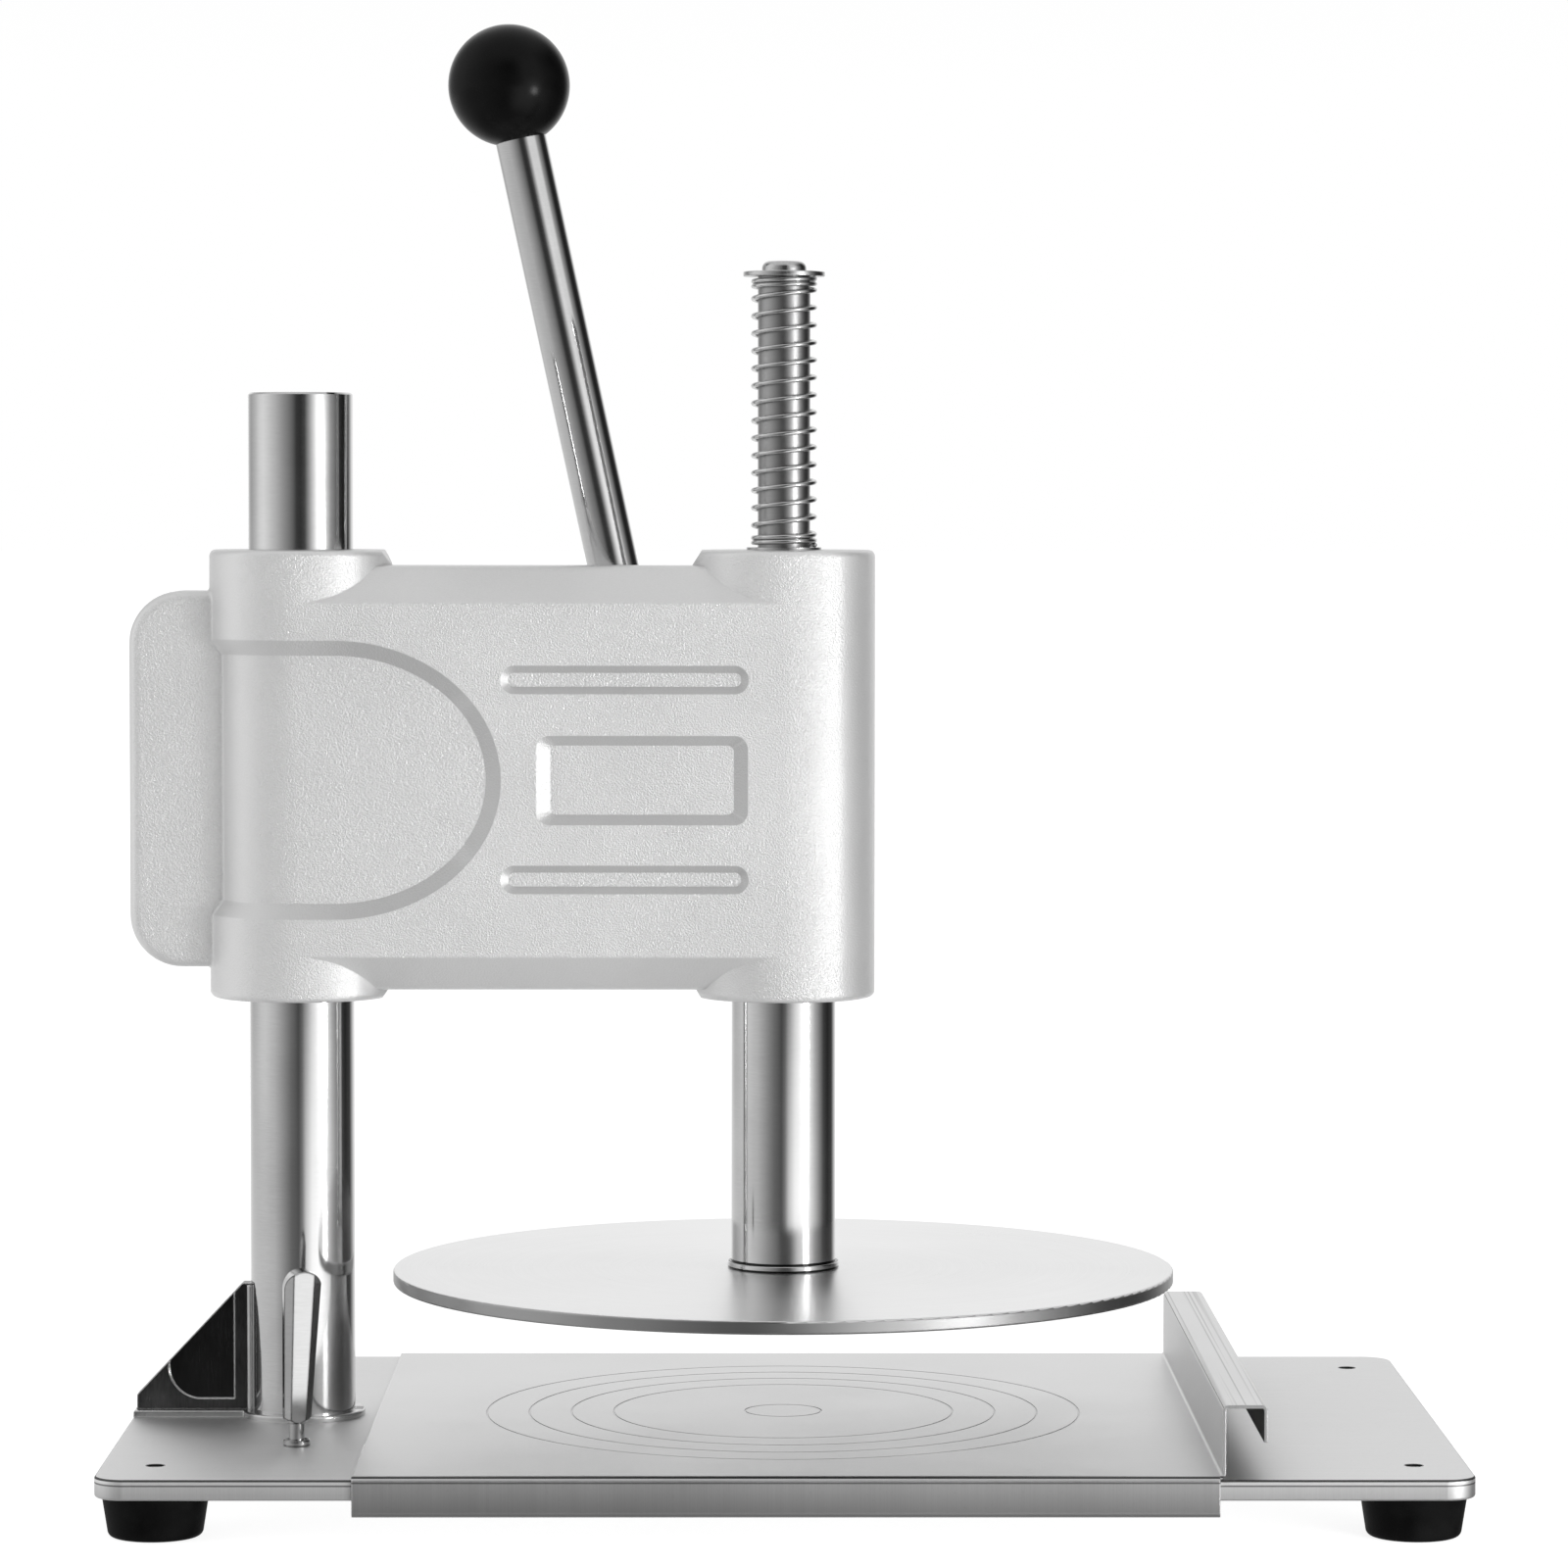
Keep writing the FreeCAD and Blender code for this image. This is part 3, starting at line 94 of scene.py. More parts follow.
# Painted shade on walls facing up or down comes in over these X, from faint; strength and grey of the painted
# shade on all of them.
RELIEF_FADE, RELIEF_FAINT, RELIEF_SHADE, RELIEF_SHADE_GREY = (-0.165, -0.13), 0.12, 0.36, 0.2
# Rod in the return spring, painted darker there as painted shade: where it starts, a little more than its
# radius, greys, added roughness.
SPRING_ROD_Z, SPRING_ROD_R = 0.287, 0.0085
SPRING_ROD_SHADE_GREYS, SPRING_ROD_ROUGH = (0.3, 0.44), 0.22
# Dark lines at the plate's ring: how far out, heights above its lower face, grey.
RING_LINE_R, RING_LINES, RING_LINE_GREY = 0.0185, ((0.0, 0.0006), (0.0019, 0.0026)), 0.03
# Gusset: its two ends, just over half its thickness, just under its foot, and a distance from its
# middle plane that lies between the floors of its reliefs and its borders.
GUSSET_X, GUSSET_Y, GUSSET_Z, GUSSET_RELIEF_Y = (-0.199, -0.164), 0.00302, 0.02245, 0.0027

# ---- all materials ----
NOISE_RANGE = (0.3, 0.7)               # where most of the noise lies
SHEET_EDGE, BAR_EDGE, PAINTED_DARK_EDGE, GUSSET_EDGE, CAST_EDGE = 0.0005, 0.0003, 0.0009, 0.0006, 0.0006
PAINTED_DARK_EDGE_FULL = 0.975                    # cosine of the turn at which a painted dark edge, a painted shade, is fully dark
BEVEL_SAMPLES, EDGE_FROM = 4, 0.997    # and the cosine of the turn at which an edge begins


def direction(yaw, pitch):
    """Unit vector at a yaw to the right of +Y and a pitch below the horizon."""
    return Vector((math.sin(yaw) * math.cos(pitch), math.cos(yaw) * math.cos(pitch), -math.sin(pitch)))


def make_camera():
    """Camera at the viewing angle of the rebuilt picture."""
    ahead = direction(CAMERA_YAW, CAMERA_PITCH)
    right = Vector((math.cos(CAMERA_YAW), -math.sin(CAMERA_YAW), 0))
    up = right.cross(ahead)
    roll_right = right * math.cos(CAMERA_ROLL) + up * math.sin(CAMERA_ROLL)
    roll_up = up * math.cos(CAMERA_ROLL) - right * math.sin(CAMERA_ROLL)
    turn = Matrix((roll_right, roll_up, -ahead)).transposed().to_4x4()
    data = bpy.data.cameras.new("camera")
    data.lens, data.sensor_width = LENS, SENSOR
    data.clip_start, data.clip_end = CLIP_START, CLIP_END
    camera = bpy.data.objects.new("camera", data)
    camera.matrix_world = Matrix.Translation(CAMERA_PLACE) @ turn
    bpy.context.scene.collection.objects.link(camera)
    bpy.context.scene.camera = camera


class Net:
    """Builds one node tree by short calls. Sizes are metres in the row frame."""

    def __init__(self, tree):
        self.tree = tree
        tree.nodes.clear()
        self.place = self.node("ShaderNodeTexCoord").outputs["Object"]
        self.normal = self.node("ShaderNodeNewGeometry").outputs["Normal"]

    def node(self, kind, inputs=None, **settings):
        made = self.tree.nodes.new(kind)
        for name, value in settings.items():
            setattr(made, name, value)
        for name, value in (inputs or {}).items():
            self.feed(made.inputs[name], value)
        return made

    def feed(self, socket, value):
        """Links a socket to another, or sets its value."""
        if isinstance(value, bpy.types.NodeSocket):
            self.tree.links.new(value, socket)
        else:
            socket.default_value = value

    def math(self, operation, *values):
        made = self.node("ShaderNodeMath", operation=operation)
        for socket, value in zip(made.inputs, values):
            self.feed(socket, value)
        return made.outputs[0]

    def vector(self, operation, *values):
        made = self.node("ShaderNodeVectorMath", operation=operation)
        for socket, value in zip(made.inputs, values):
            self.feed(socket, value)
        return made.outputs["Value" if operation in ("LENGTH", "DOT_PRODUCT") else "Vector"]

    def parts(self, vector):
        return self.node("ShaderNodeSeparateXYZ", {"Vector": vector}).outputs

    def join(self, x, y, z):
        return self.node("ShaderNodeCombineXYZ", {"X": x, "Y": y, "Z": z}).outputs[0]

    def remap(self, value, from_low, from_high, to_low, to_high, soft=False):
        kind = "SMOOTHSTEP" if soft else "LINEAR"
        names = {"Value": value, "From Min": from_low, "From Max": from_high,
                 "To Min": to_low, "To Max": to_high}
        return self.node("ShaderNodeMapRange", names, interpolation_type=kind).outputs["Result"]

    def noise(self, grain, at=None, detail=2.0, rough=0.5):
        """Noise whose grain is one size, or one size for each axis."""
        grain = (grain,) * 3 if isinstance(grain, float) else grain
        scaled = self.vector("DIVIDE", at or self.place, grain)
        names = {"Vector": scaled, "Scale": 1.0, "Detail": detail, "Roughness": rough}
        return self.node("ShaderNodeTexNoise", names).outputs[0]

    def ramp(self, value, stops):
        """Grey values that change along a line; stops are (place, value)."""
        made = self.node("ShaderNodeValToRGB", {"Fac": value})
        elements = made.color_ramp.elements
        while len(elements) < len(stops):
            elements.new(0.5)
        for element, (at, grey) in zip(elements, stops):
            element.position = at
            element.color = (grey, grey, grey, 1)
        return made.outputs[0]

    def colour(self, factor, low, high):
        """A colour between two, by a factor from 0 to 1."""
        made = self.node("ShaderNodeMix", data_type="RGBA")
        self.feed(made.inputs["Factor"], factor)
        self.feed(made.inputs["A"], low)
        self.feed(made.inputs["B"], high)
        return made.outputs["Result"]

    def edge(self, radius, full=0.9):
        """(normal with softened edges, mask that reaches 1 where the normal turns by acos(full))."""
        soft = self.node("ShaderNodeBevel", {"Radius": radius}, samples=BEVEL_SAMPLES).outputs[0]
        along = self.vector("DOT_PRODUCT", soft, self.normal)
        return soft, self.remap(along, EDGE_FROM, full, 0.0, 1.0)

    def bump(self, height, depth, under=None):
        """A surface relief `depth` metres deep, on top of another one."""
        names = {"Height": height, "Strength": 1.0, "Distance": depth}
        if under is not None:
            names["Normal"] = under
        return self.node("ShaderNodeBump", names).outputs["Normal"]


def set_sockets(inputs, net, values):
    """Feeds several of a node's inputs, by name."""
    for name, value in values.items():
        net.feed(inputs[name], value)


def make_world():
    """A round studio: bright panels left and right, dark behind the camera, white behind the object."""
    world = bpy.data.worlds.new("studio")
    bpy.context.scene.world = world
    world.use_nodes = True
    net = Net(world.node_tree)
    way = net.node("ShaderNodeTexCoord").outputs["Generated"]
    x, y, z = net.parts(way)
    turn = net.math("ARCTAN2", x, net.math("MULTIPLY", y, -1.0))
    along = net.remap(turn, -math.pi, math.pi, 0.0, 1.0)
    around, table = (net.ramp(along, [((angle + 180) / 360, light / BRIGHTEST) for angle, light in lights])
                     for lights in (ROUND_LIGHT, TABLE_LIGHT))
    rise = net.math("ARCSINE", z)
    down = net.remap(rise, -math.radians(TABLE_START), -math.radians(TABLE_END), 0.0, 1.0, soft=True)
    around = net.colour(down, around, table)
    capped = net.math("MINIMUM", around, CAP / BRIGHTEST)
    above = net.remap(rise, math.radians(CAP_START), math.radians(CAP_END), 0.0, 1.0)
    around = net.colour(above, around, capped)
    high = net.remap(rise, math.radians(FADE_START), math.radians(FADE_END), 0.0, 1.0, soft=True)
    low = net.remap(rise, -math.radians(FADE_START), -math.radians(FADE_END), 0.0, 1.0, soft=True)
    mixed = net.colour(high, around, (OVERHEAD / BRIGHTEST,) * 3 + (1,))
    mixed = net.colour(low, mixed, (UNDERNEATH / BRIGHTEST,) * 3 + (1,))
    back = net.node("ShaderNodeBackground", {"Color": mixed, "Strength": BRIGHTEST})
    out = net.node("ShaderNodeOutputWorld")
    net.tree.links.new(back.outputs[0], out.inputs["Surface"])


def make_floor():
    """Plain white table that glows a little, so that it stays pale under the object."""
    bpy.ops.mesh.primitive_plane_add(size=2 * FLOOR_HALF, location=(0, 0, 0))
    floor = bpy.context.object
    floor.name = "floor"
    floor.visible_glossy = False
    net, principled, material = new_material("floor_white")
    shade = net.noise(0.5)
    set_sockets(principled.inputs, net, {
        "Base Color": net.colour(shade, grey(0.4), grey(0.44)),
        "Roughness": 0.9, "Specular IOR Level": 0.0,
        "Emission Color": (1, 1, 1, 1), "Emission Strength": FLOOR_GLOW,
    })
    floor.data.materials.append(material)


def panel_light(name, place, target, side, power):
    """A square soft light that faces a target."""
    data = bpy.data.lights.new(name, "AREA")
    data.size, data.energy = side, power
    light = bpy.data.objects.new(name, data)
    light.location = place
    light.rotation_euler = (Vector(target) - Vector(place)).to_track_quat("-Z", "Y").to_euler()
    bpy.context.scene.collection.objects.link(light)
    return light


def make_lights():
    """Soft panels that light matt surfaces only, and one small lamp that polished surfaces mirror too."""
    for name, settings in FILL_LIGHTS.items():
        panel_light(name, *settings).visible_glossy = False
    panel_light("spark", *SPARK_LIGHT)


def new_material(name):
    """(net, Principled node, material) of a fresh material."""
    material = bpy.data.materials.new(name)
    material.use_nodes = True
    net = Net(material.node_tree)
    principled = net.node("ShaderNodeBsdfPrincipled")
    out = net.node("ShaderNodeOutputMaterial")
    net.tree.links.new(principled.outputs[0], out.inputs["Surface"])
    return net, principled, material


def grey(value, warmth=0.0):
    return (value + warmth, value, value - warmth, 1)


def facing_up(net):
    """1 on level faces, 0 on upright ones."""
    return net.remap(net.math("ABSOLUTE", net.parts(net.normal)[2]), 0.5, 0.9, 0.0, 1.0)


def between(net, value, low, high):
    """1 where a value lies between two limits."""
    return net.math("MULTIPLY", net.math("GREATER_THAN", value, low), net.math("LESS_THAN", value, high))


def hole_shade_mask(net):
    """1 on the walls and rims of the base's four screw holes, which get painted shade."""
    x, y, _ = net.parts(net.place)
    off_x = net.math("SUBTRACT", net.math("ABSOLUTE", x), HOLE_X)
    off_y = net.math("SUBTRACT", net.math("ABSOLUTE", y), HOLE_Y)
    return net.math("LESS_THAN", net.vector("LENGTH", net.join(off_x, off_y, 0.0)), HOLE_R)


def hook_shade_mask(net):
    """1 inside the grip's fold and on the outer face of its wall, which get painted shade."""
    x, _, z = net.parts(net.place)
    inside = net.math("MULTIPLY", between(net, x, *HOOK_X), between(net, z, *HOOK_Z))
    along = net.remap(net.math("ABSOLUTE", net.parts(net.normal)[1]), 0.4, 0.6, 1.0, 0.0)
    return net.math("MULTIPLY", inside, along)


def painted_edges(net, tint, top):
    """Painted highlights on the edges, and painted shade and highlight lines on the sides just under the top.
    """
    x, y, z = net.parts(net.place)
    soft, rim = net.edge(SHEET_EDGE)
    off_rings = net.math("GREATER_THAN", net.vector("LENGTH", net.join(x, y, 0.0)), RINGS_R)
    edge_highlight = net.math("MULTIPLY", rim, net.math("MULTIPLY", off_rings, SHEET_EDGE_HIGHLIGHT))
    tint = net.colour(edge_highlight, tint, grey(EDGE_HIGHLIGHT_GREY))
    side = net.remap(net.math("ABSOLUTE", net.parts(net.normal)[2]), 0.93, 0.98, 1.0, 0.0)
    for start, end, strength, shade in PAINTED_EDGE_LINES:
        line = net.math("MULTIPLY", between(net, z, top - end, top - start), side)
        tint = net.colour(net.math("MULTIPLY", line, strength), tint, grey(shade))
    return soft, tint


# Brushed sheet: grains of the lines, the cloud and the specks, and how dark the specks are.
LEVEL_GRAIN, UPRIGHT_GRAIN = (0.06, 0.00022, 0.01), (0.00025, 0.00025, 0.05)
SHEET_CLOUD, SPECK_GRAIN, SPECK_DARK, BRUSH_DEPTH = 0.05, 0.0011, 0.7, 0.000012
# Grain and grey of the grip; greys of the painted shade in its fold and in the screw holes, and of the
# painted edge highlight.
GRIP_GRAIN, GRIP_GREY, HOOK_SHADE_GREY, HOLE_SHADE_GREY, EDGE_HIGHLIGHT_GREY = (0.0011, 0.9, 0.9), 0.2, 0.03, 0.01, 0.97


def brushed_sheet(name, low, high, rough, top, lines=0.7):
    """Satin sheet: fine lines along X on level faces and upright lines on the sides."""
    net, principled, material = new_material(name)
    level = facing_up(net)
    along = net.noise(LEVEL_GRAIN, detail=3.0)
    upright = net.noise(UPRIGHT_GRAIN, detail=3.0)
    line = net.node("ShaderNodeMix", {0: level, 2: upright, 3: along}).outputs[0]
    cloud = net.noise(SHEET_CLOUD, detail=3.0)
    specks = net.remap(net.noise(SPECK_GRAIN, detail=1.0), 0.62, 0.8, 0.0, 0.5)
    shade = net.math("ADD", net.math("MULTIPLY", line, 0.55), net.math("MULTIPLY", cloud, 0.45))
    tint = net.colour(net.remap(shade, *NOISE_RANGE, 0.0, 1.0), grey(low), grey(high))
    tint = net.colour(net.math("MULTIPLY", specks, 0.25), tint, grey(low * SPECK_DARK))
    z = net.parts(net.place)[2]
    # Painted shade: the sides darken towards the foot.
    painted_foot_shade = net.remap(z, SKIRT_BOTTOM, SKIRT_TOP, SKIRT_PAINTED_SHADE, 0.0)
    tint = net.colour(net.math("MULTIPLY", painted_foot_shade, net.math("SUBTRACT", 1.0, level)), tint, grey(0.0))
    grip = net.remap(net.noise(GRIP_GRAIN, detail=2.0), 0.53, 0.6, 0.0, 0.55)
    grip = net.math("MULTIPLY", grip, net.math("MULTIPLY", level, net.math("GREATER_THAN", z, GRIP_Z)))
    tint = net.colour(grip, tint, grey(GRIP_GREY))
    # Painted shade inside the grip's fold and on the outer face of its wall.
    tint = net.colour(net.math("MULTIPLY", hook_shade_mask(net), 0.9), tint, grey(HOOK_SHADE_GREY))
    # Painted shade in the screw holes.
    tint = net.colour(hole_shade_mask(net), tint, grey(HOLE_SHADE_GREY))
    # Painted highlights on the edges, and painted shade and highlight lines under the top.
    soft, tint = painted_edges(net, tint, top)
    set_sockets(principled.inputs, net, {
        "Base Color": tint, "Metallic": 1.0,
        "Roughness": net.remap(shade, *NOISE_RANGE, rough - 0.05, rough + 0.07),
        "Anisotropic": net.math("MULTIPLY", level, lines),
        "Tangent": net.vector("CROSS_PRODUCT", net.normal, (0, 1, 0)),
        "Normal": net.bump(line, BRUSH_DEPTH, soft),
    })
    return material


def turned_plate(name):
    """Round plate polished in circles, with a few faint handling marks and painted shade on its side faces.
    """
    net, principled, material = new_material(name)
    x, y, z = net.parts(net.place)
    radius = net.vector("LENGTH", net.join(x, y, 0.0))
    angle = net.math("ARCTAN2", y, x)
    rings = net.noise((0.0004, 1.6, 0.02), at=net.join(radius, angle, z), detail=3.0)
    cloud = net.noise(0.045, detail=3.0)
    marks = net.remap(net.noise((0.02, 0.0016, 0.01), detail=4.0), 0.6, 0.72, 0.0, 1.0)
    shade = net.math("ADD", net.math("MULTIPLY", rings, 0.5), net.math("MULTIPLY", cloud, 0.5))
    tint = net.colour(net.remap(shade, *NOISE_RANGE, 0.0, 1.0), grey(0.8), grey(0.9))
    # Painted shade: the side faces are coloured darker than the top.
    side_painted_shade = net.math("SUBTRACT", 1.0, facing_up(net))
    tint = net.colour(side_painted_shade, tint, net.colour(cloud, grey(0.25), grey(0.5)))
    set_sockets(principled.inputs, net, {
        "Base Color": tint, "Metallic": 1.0,
        "Roughness": net.math("ADD", net.remap(shade, *NOISE_RANGE, 0.27, 0.34),
                              net.math("MULTIPLY", marks, 0.04)),
        "Anisotropic": 0.35,
        "Normal": net.bump(rings, 0.000006),
    })
    return material


def polished(name, low, high, rough, edge_shade_grey=None):
    """Bright bar with a slight haze and hair lines; painted shade and more roughness in the spring; dark
    lines at the plate's ring.
    """
    net, principled, material = new_material(name)
    haze = net.noise(0.018, detail=3.0)
    hair = net.noise((0.004, 0.004, 0.00025), detail=2.0)
    shade = net.math("ADD", net.math("MULTIPLY", haze, 0.6), net.math("MULTIPLY", hair, 0.4))
    tint = net.colour(net.remap(shade, *NOISE_RANGE, 0.0, 1.0), grey(low), grey(high))
    # Given an edge grey, the edges are painted dark, a painted shade.
    soft, rim = net.edge(BAR_EDGE) if edge_shade_grey is None else net.edge(PAINTED_DARK_EDGE, PAINTED_DARK_EDGE_FULL)
    x, y, z = net.parts(net.place)
    off_axis = net.vector("LENGTH", net.join(x, y, 0.0))
    # Painted shade, and more roughness, on the rod inside the spring.
    rod_shade_and_roughness = net.math("LESS_THAN", off_axis, SPRING_ROD_R)
    rod_shade_and_roughness = net.math("MULTIPLY", rod_shade_and_roughness, net.math("GREATER_THAN", z, SPRING_ROD_Z))
    tint = net.colour(rod_shade_and_roughness, tint, net.colour(shade, *(grey(value) for value in SPRING_ROD_SHADE_GREYS)))
    ring_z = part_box("plate_ring")[0].z
    near = net.math("LESS_THAN", off_axis, RING_LINE_R)
    for low_z, high_z in RING_LINES:
        line = net.math("MULTIPLY", near, between(net, z, ring_z + low_z, ring_z + high_z))
        tint = net.colour(line, tint, grey(RING_LINE_GREY))
    set_sockets(principled.inputs, net, {
        "Base Color": tint if edge_shade_grey is None else net.colour(rim, tint, grey(edge_shade_grey)),
        "Metallic": 1.0,
        "Roughness": net.math("ADD", net.remap(shade, *NOISE_RANGE, rough * 0.7, rough * 1.35),
                              net.math("MULTIPLY", rod_shade_and_roughness, SPRING_ROD_ROUGH)),
        "Normal": net.bump(hair, 0.0000012, soft),
    })
    return material


def bracket(name):
    """Gusset, black in its reliefs, less so on its borders, which are painted lighter towards the left end;
    painted highlights on its edges, and welds and foot plate painted bright as a highlight.
    """
    net, principled, material = new_material(name)
    x, y, z = net.parts(net.place)
    off = net.math("ABSOLUTE", y)
    cloud = net.noise(0.014, detail=3.0)
    fine = net.noise((0.0006, 0.0006, 0.004), detail=2.0)
    shade = net.math("ADD", net.math("MULTIPLY", cloud, 0.6), net.math("MULTIPLY", fine, 0.4))
    shade = net.remap(shade, *NOISE_RANGE, 0.0, 1.0)
    dark = net.colour(shade, grey(0.025), grey(0.05))
    # Painted light: the borders get lighter towards the left end.
    light_fade = net.remap(x, *GUSSET_X, 1.0, 0.4)
    border = net.colour(net.math("MULTIPLY", shade, light_fade), grey(0.05), grey(0.22))
    plate = net.colour(net.math("GREATER_THAN", off, GUSSET_RELIEF_Y), dark, border)
    # Painted highlight: welds and foot plate are coloured bright.
    bright = net.colour(shade, grey(0.5), grey(0.66))
    in_plate = net.math("MULTIPLY", net.math("LESS_THAN", off, GUSSET_Y),
                        net.math("GREATER_THAN", z, GUSSET_Z))
    # Painted highlight on the edges.
    soft, rim = net.edge(GUSSET_EDGE)
    set_sockets(principled.inputs, net, {
        "Base Color": net.colour(rim, net.colour(in_plate, bright, plate), grey(0.95)),
        "Metallic": 1.0,
        "Roughness": net.remap(shade, 0.0, 1.0, 0.17, 0.3),
        "Normal": net.bump(fine, 0.000004, soft),
    })
    return material


def relief_shade_mask(net):
    """1 on the sloped walls of the head's shallow reliefs, except those that face right; these get painted
    shade.
    """
    x, y, z = net.parts(net.place)
    facing_x, _, facing_z = net.parts(net.normal)
    off_middle = net.math("ABSOLUTE", net.math("SUBTRACT", z, HEAD_FACE_MID))
    level = net.remap(net.math("ABSOLUTE", facing_z), 0.2, 0.4, 0.0, 1.0)
    level = net.math("MULTIPLY", level, net.remap(x, *RELIEF_FADE, RELIEF_FAINT, 1.0))
    level = net.math("MULTIPLY", level, net.math("LESS_THAN", y, 0.0))
    left = net.remap(facing_x, -0.3, -0.45, 0.0, 1.0)
    left = net.math("MULTIPLY", left, net.math("LESS_THAN", y, RELIEF_FLOOR))
    left = net.math("MULTIPLY", left, net.math("GREATER_THAN", x, RELIEF_LEFT))
    wall = net.math("MAXIMUM", level, left)
    return net.math("MULTIPLY", wall, net.math("LESS_THAN", off_middle, RELIEF_REACH))


def silver_casting(name):
    """Casting under silver paint: a fine pebbled skin, slightly cloudy, smoother on slopes, with painted
    shade on the walls of its reliefs.
    """
    net, principled, material = new_material(name)
    pebble = net.noise(0.00055, detail=2.0, rough=0.6)
    swell = net.noise(0.012, detail=3.0)
    cloud = net.noise(0.06, detail=2.0)
    flat = net.remap(net.math("ABSOLUTE", net.parts(net.normal)[1]), 0.75, 0.97, 0.25, 1.0)
    height = net.math("ADD", net.math("MULTIPLY", pebble, flat), net.math("MULTIPLY", swell, 0.3))
    shade = net.math("ADD", net.math("MULTIPLY", pebble, 0.35), net.math("MULTIPLY", cloud, 0.65))
    tint = net.colour(net.remap(shade, *NOISE_RANGE, 0.0, 1.0), grey(0.68), grey(0.77))
    soft, _ = net.edge(CAST_EDGE)
    set_sockets(principled.inputs, net, {
        # Painted shade on the walls of the reliefs.
        "Base Color": net.colour(net.math("MULTIPLY", relief_shade_mask(net), RELIEF_SHADE), tint, grey(RELIEF_SHADE_GREY)),
        "Metallic": 0.65,
        "Roughness": net.remap(shade, *NOISE_RANGE, 0.33, 0.41),
        "Normal": net.bump(height, 0.00045, soft),
    })
    return material


def rubber(name):
    """Moulded black rubber with a dull bloom."""
    net, principled, material = new_material(name)
    grain = net.noise(0.0006, detail=2.0)
    bloom = net.noise(0.012, detail=3.0)
    set_sockets(principled.inputs, net, {
        "Base Color": net.colour(net.remap(bloom, 0.35, 0.7, 0.0, 1.0), grey(0.002), grey(0.006)),
        "Roughness": net.remap(bloom, *NOISE_RANGE, 0.5, 0.65),
        "Specular IOR Level": 0.06,
        "Normal": net.bump(grain, 0.00006),
    })
    return material


def gloss_black(name):
    """Glossy black plastic with faint ripples and fingermarks."""
    net, principled, material = new_material(name)
    smear = net.noise(0.007, detail=3.0)
    ripple = net.noise(0.01, detail=1.0)
    set_sockets(principled.inputs, net, {
        "Base Color": net.colour(smear, grey(0.002), grey(0.004)),
        "Roughness": net.remap(smear, 0.35, 0.7, 0.19, 0.25),
        "Specular IOR Level": 0.1,
        "Normal": net.bump(ripple, 0.00008),
    })
    return material


def worked_metal(name, low, high, rough, grain, depth, warmth=0.0):
    """Small metal parts: tool lines and a cloudy tarnish; painted shade where they sit deep in the base."""
    net, principled, material = new_material(name)
    lines = net.noise(grain, detail=2.0)
    tarnish = net.noise(0.006, detail=3.0)
    shade = net.math("ADD", net.math("MULTIPLY", lines, 0.45), net.math("MULTIPLY", tarnish, 0.55))
    tint = net.colour(net.remap(shade, *NOISE_RANGE, 0.0, 1.0), grey(low, warmth), grey(high, warmth))
    # Painted shade on parts that sit deep in the base.
    sunk_shade = net.math("MULTIPLY", between(net, net.parts(net.place)[2], *SUNK_SHADE_Z), 0.95)
    set_sockets(principled.inputs, net, {
        "Base Color": net.colour(sunk_shade, tint, grey(0.01)),
        "Metallic": 1.0,
        "Roughness": net.remap(shade, *NOISE_RANGE, rough * 0.75, rough * 1.3),
        "Normal": net.bump(lines, depth),
    })
    return material


def make_materials():
    """One material for each of the record's slots."""
    return {
        "base_steel": brushed_sheet("base_steel", 0.8, 0.9, 0.54, BASE_TOP, 0.5),
        "tray_steel": brushed_sheet("tray_steel", 0.65, 0.73, 0.38, TRAY_TOP),
        "plate_steel": turned_plate("plate_steel"),
        "polished_steel": polished("polished_steel", 0.6, 0.68, 0.1),
        "bracket_steel": bracket("bracket_steel"),
        "lock_chrome": polished("lock_chrome", 0.48, 0.58, 0.12, 0.03),
        "cast_aluminium": silver_casting("cast_aluminium"),
        "fastener_steel": worked_metal("fastener_steel", 0.5, 0.62, 0.22, 0.0006, 0.00001),
        "spring_steel": worked_metal("spring_steel", 0.55, 0.68, 0.16, 0.0008, 0.000006),
        "machined_steel": worked_metal("machined_steel", 0.46, 0.56, 0.3, (0.003, 0.0003, 0.003), 0.00001),
        "bronze": worked_metal("bronze", 0.45, 0.55, 0.3, (0.0005, 0.0005, 0.003), 0.00001, 0.14),
        "black_rubber": rubber("black_rubber"),
        "black_gloss": gloss_black("black_gloss"),
    }


def dress(obj, material):
    """Puts one material in every slot of a piece."""
    obj.data.materials.clear()
    obj.data.materials.append(material)


# ---- return spring ----
SPRING_R, WIRE_R = 0.00945, 0.00072
CLOSED_TURNS, ACTIVE_TURNS = 1.9, 14.2
CLOSED_PITCH = 2.05                    # in wire radii
STEPS_PER_TURN, WIRE_SIDES = 40, 12


def wire_centre(turns, pitch_closed, pitch_open):
    """Height gained after some turns from the bottom: close coils, open coils, close coils."""
    low = min(turns, CLOSED_TURNS)
    middle = min(max(turns - CLOSED_TURNS, 0), ACTIVE_TURNS)
    top = max(turns - CLOSED_TURNS - ACTIVE_TURNS, 0)
    return (low + top) * pitch_closed + middle * pitch_open


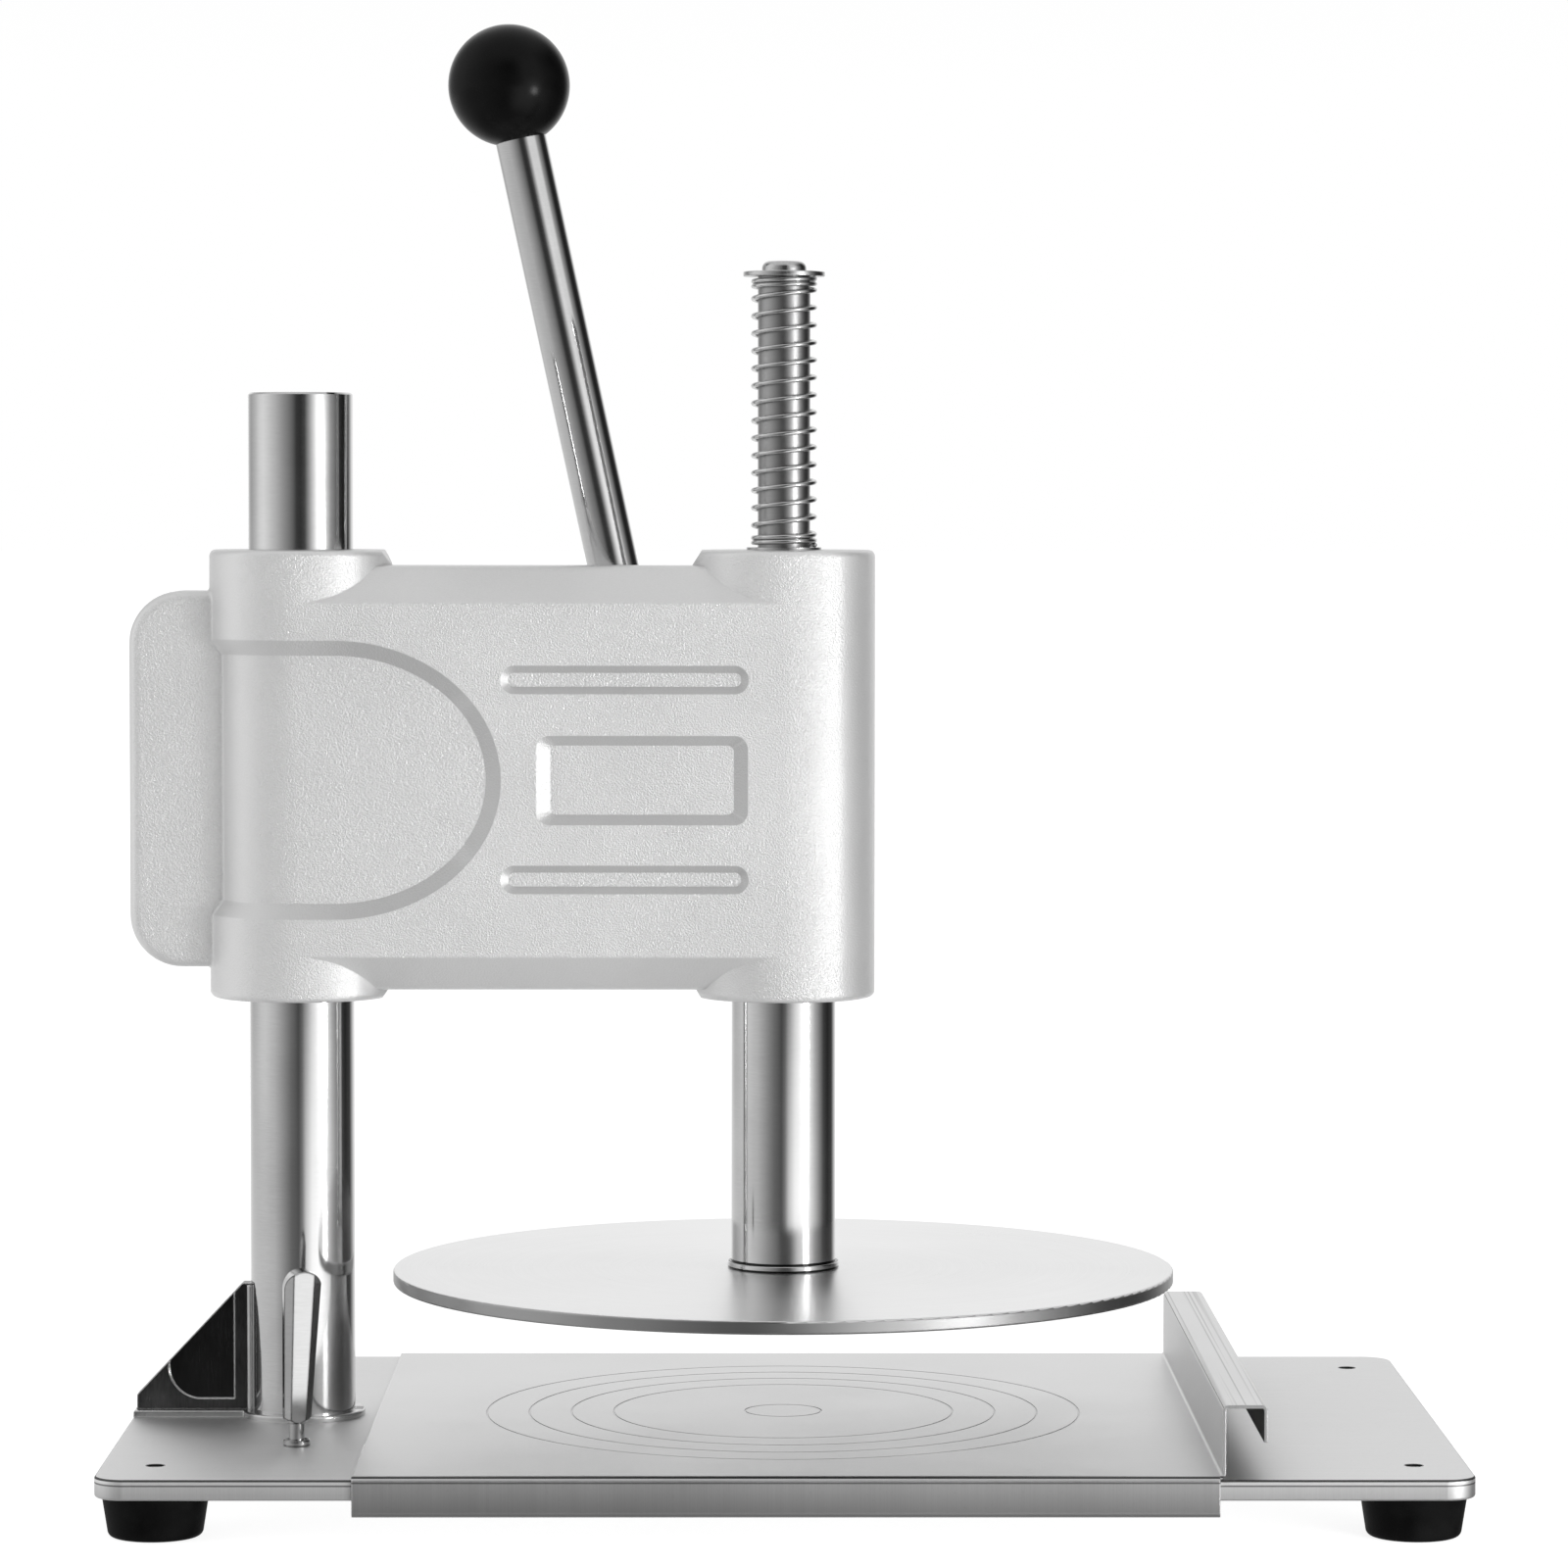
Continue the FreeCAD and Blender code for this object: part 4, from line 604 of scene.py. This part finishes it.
def make_spring(material):
    """Round-wire spring with closed end coils, in the room of the CAD spring."""
    low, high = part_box("return_spring")
    start, room = low.z + WIRE_R, high.z - low.z - 2 * WIRE_R
    pitch_closed = CLOSED_PITCH * WIRE_R
    pitch_open = (room - 2 * CLOSED_TURNS * pitch_closed) / ACTIVE_TURNS
    count = int((2 * CLOSED_TURNS + ACTIVE_TURNS) * STEPS_PER_TURN)
    points, faces = [], []
    for i in range(count + 1):
        turns = i / STEPS_PER_TURN
        angle = 2 * math.pi * turns
        out = Vector((math.cos(angle), math.sin(angle), 0))
        height = start + wire_centre(turns, pitch_closed, pitch_open)
        for k in range(WIRE_SIDES):
            a = 2 * math.pi * k / WIRE_SIDES
            point = out * (SPRING_R + WIRE_R * math.cos(a))
            points.append((point.x, point.y, height + WIRE_R * math.sin(a)))
    for i in range(count):
        for k in range(WIRE_SIDES):
            a, b = i * WIRE_SIDES + k, i * WIRE_SIDES + (k + 1) % WIRE_SIDES
            faces.append((a, a + WIRE_SIDES, b + WIRE_SIDES, b))
    faces += [tuple(range(WIRE_SIDES)), tuple(range(count * WIRE_SIDES, (count + 1) * WIRE_SIDES))[::-1]]
    mesh = bpy.data.meshes.new("coil_spring")
    mesh.from_pydata(points, [], faces)
    mesh.validate()
    mesh.shade_smooth()
    spring = bpy.data.objects.new("coil_spring", mesh)
    bpy.context.scene.collection.objects.link(spring)
    dress(spring, material)
    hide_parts("return_spring")
    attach(spring, "head")
    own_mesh(spring)


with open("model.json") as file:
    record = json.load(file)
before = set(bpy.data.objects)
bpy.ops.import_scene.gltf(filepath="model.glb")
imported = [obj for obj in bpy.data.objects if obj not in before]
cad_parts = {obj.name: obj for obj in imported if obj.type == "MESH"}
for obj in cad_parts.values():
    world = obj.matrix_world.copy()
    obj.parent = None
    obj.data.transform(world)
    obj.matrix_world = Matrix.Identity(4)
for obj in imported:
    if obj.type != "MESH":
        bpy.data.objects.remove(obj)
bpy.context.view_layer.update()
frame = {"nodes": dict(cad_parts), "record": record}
make_camera()
make_world()
make_floor()
make_lights()
materials = make_materials()
for part in frame["record"]["subparts"]:
    dress(frame["nodes"][part["node"]], materials[part["material_slot"]])
make_spring(materials["spring_steel"])
bpy.context.scene.view_settings.view_transform = "Standard"
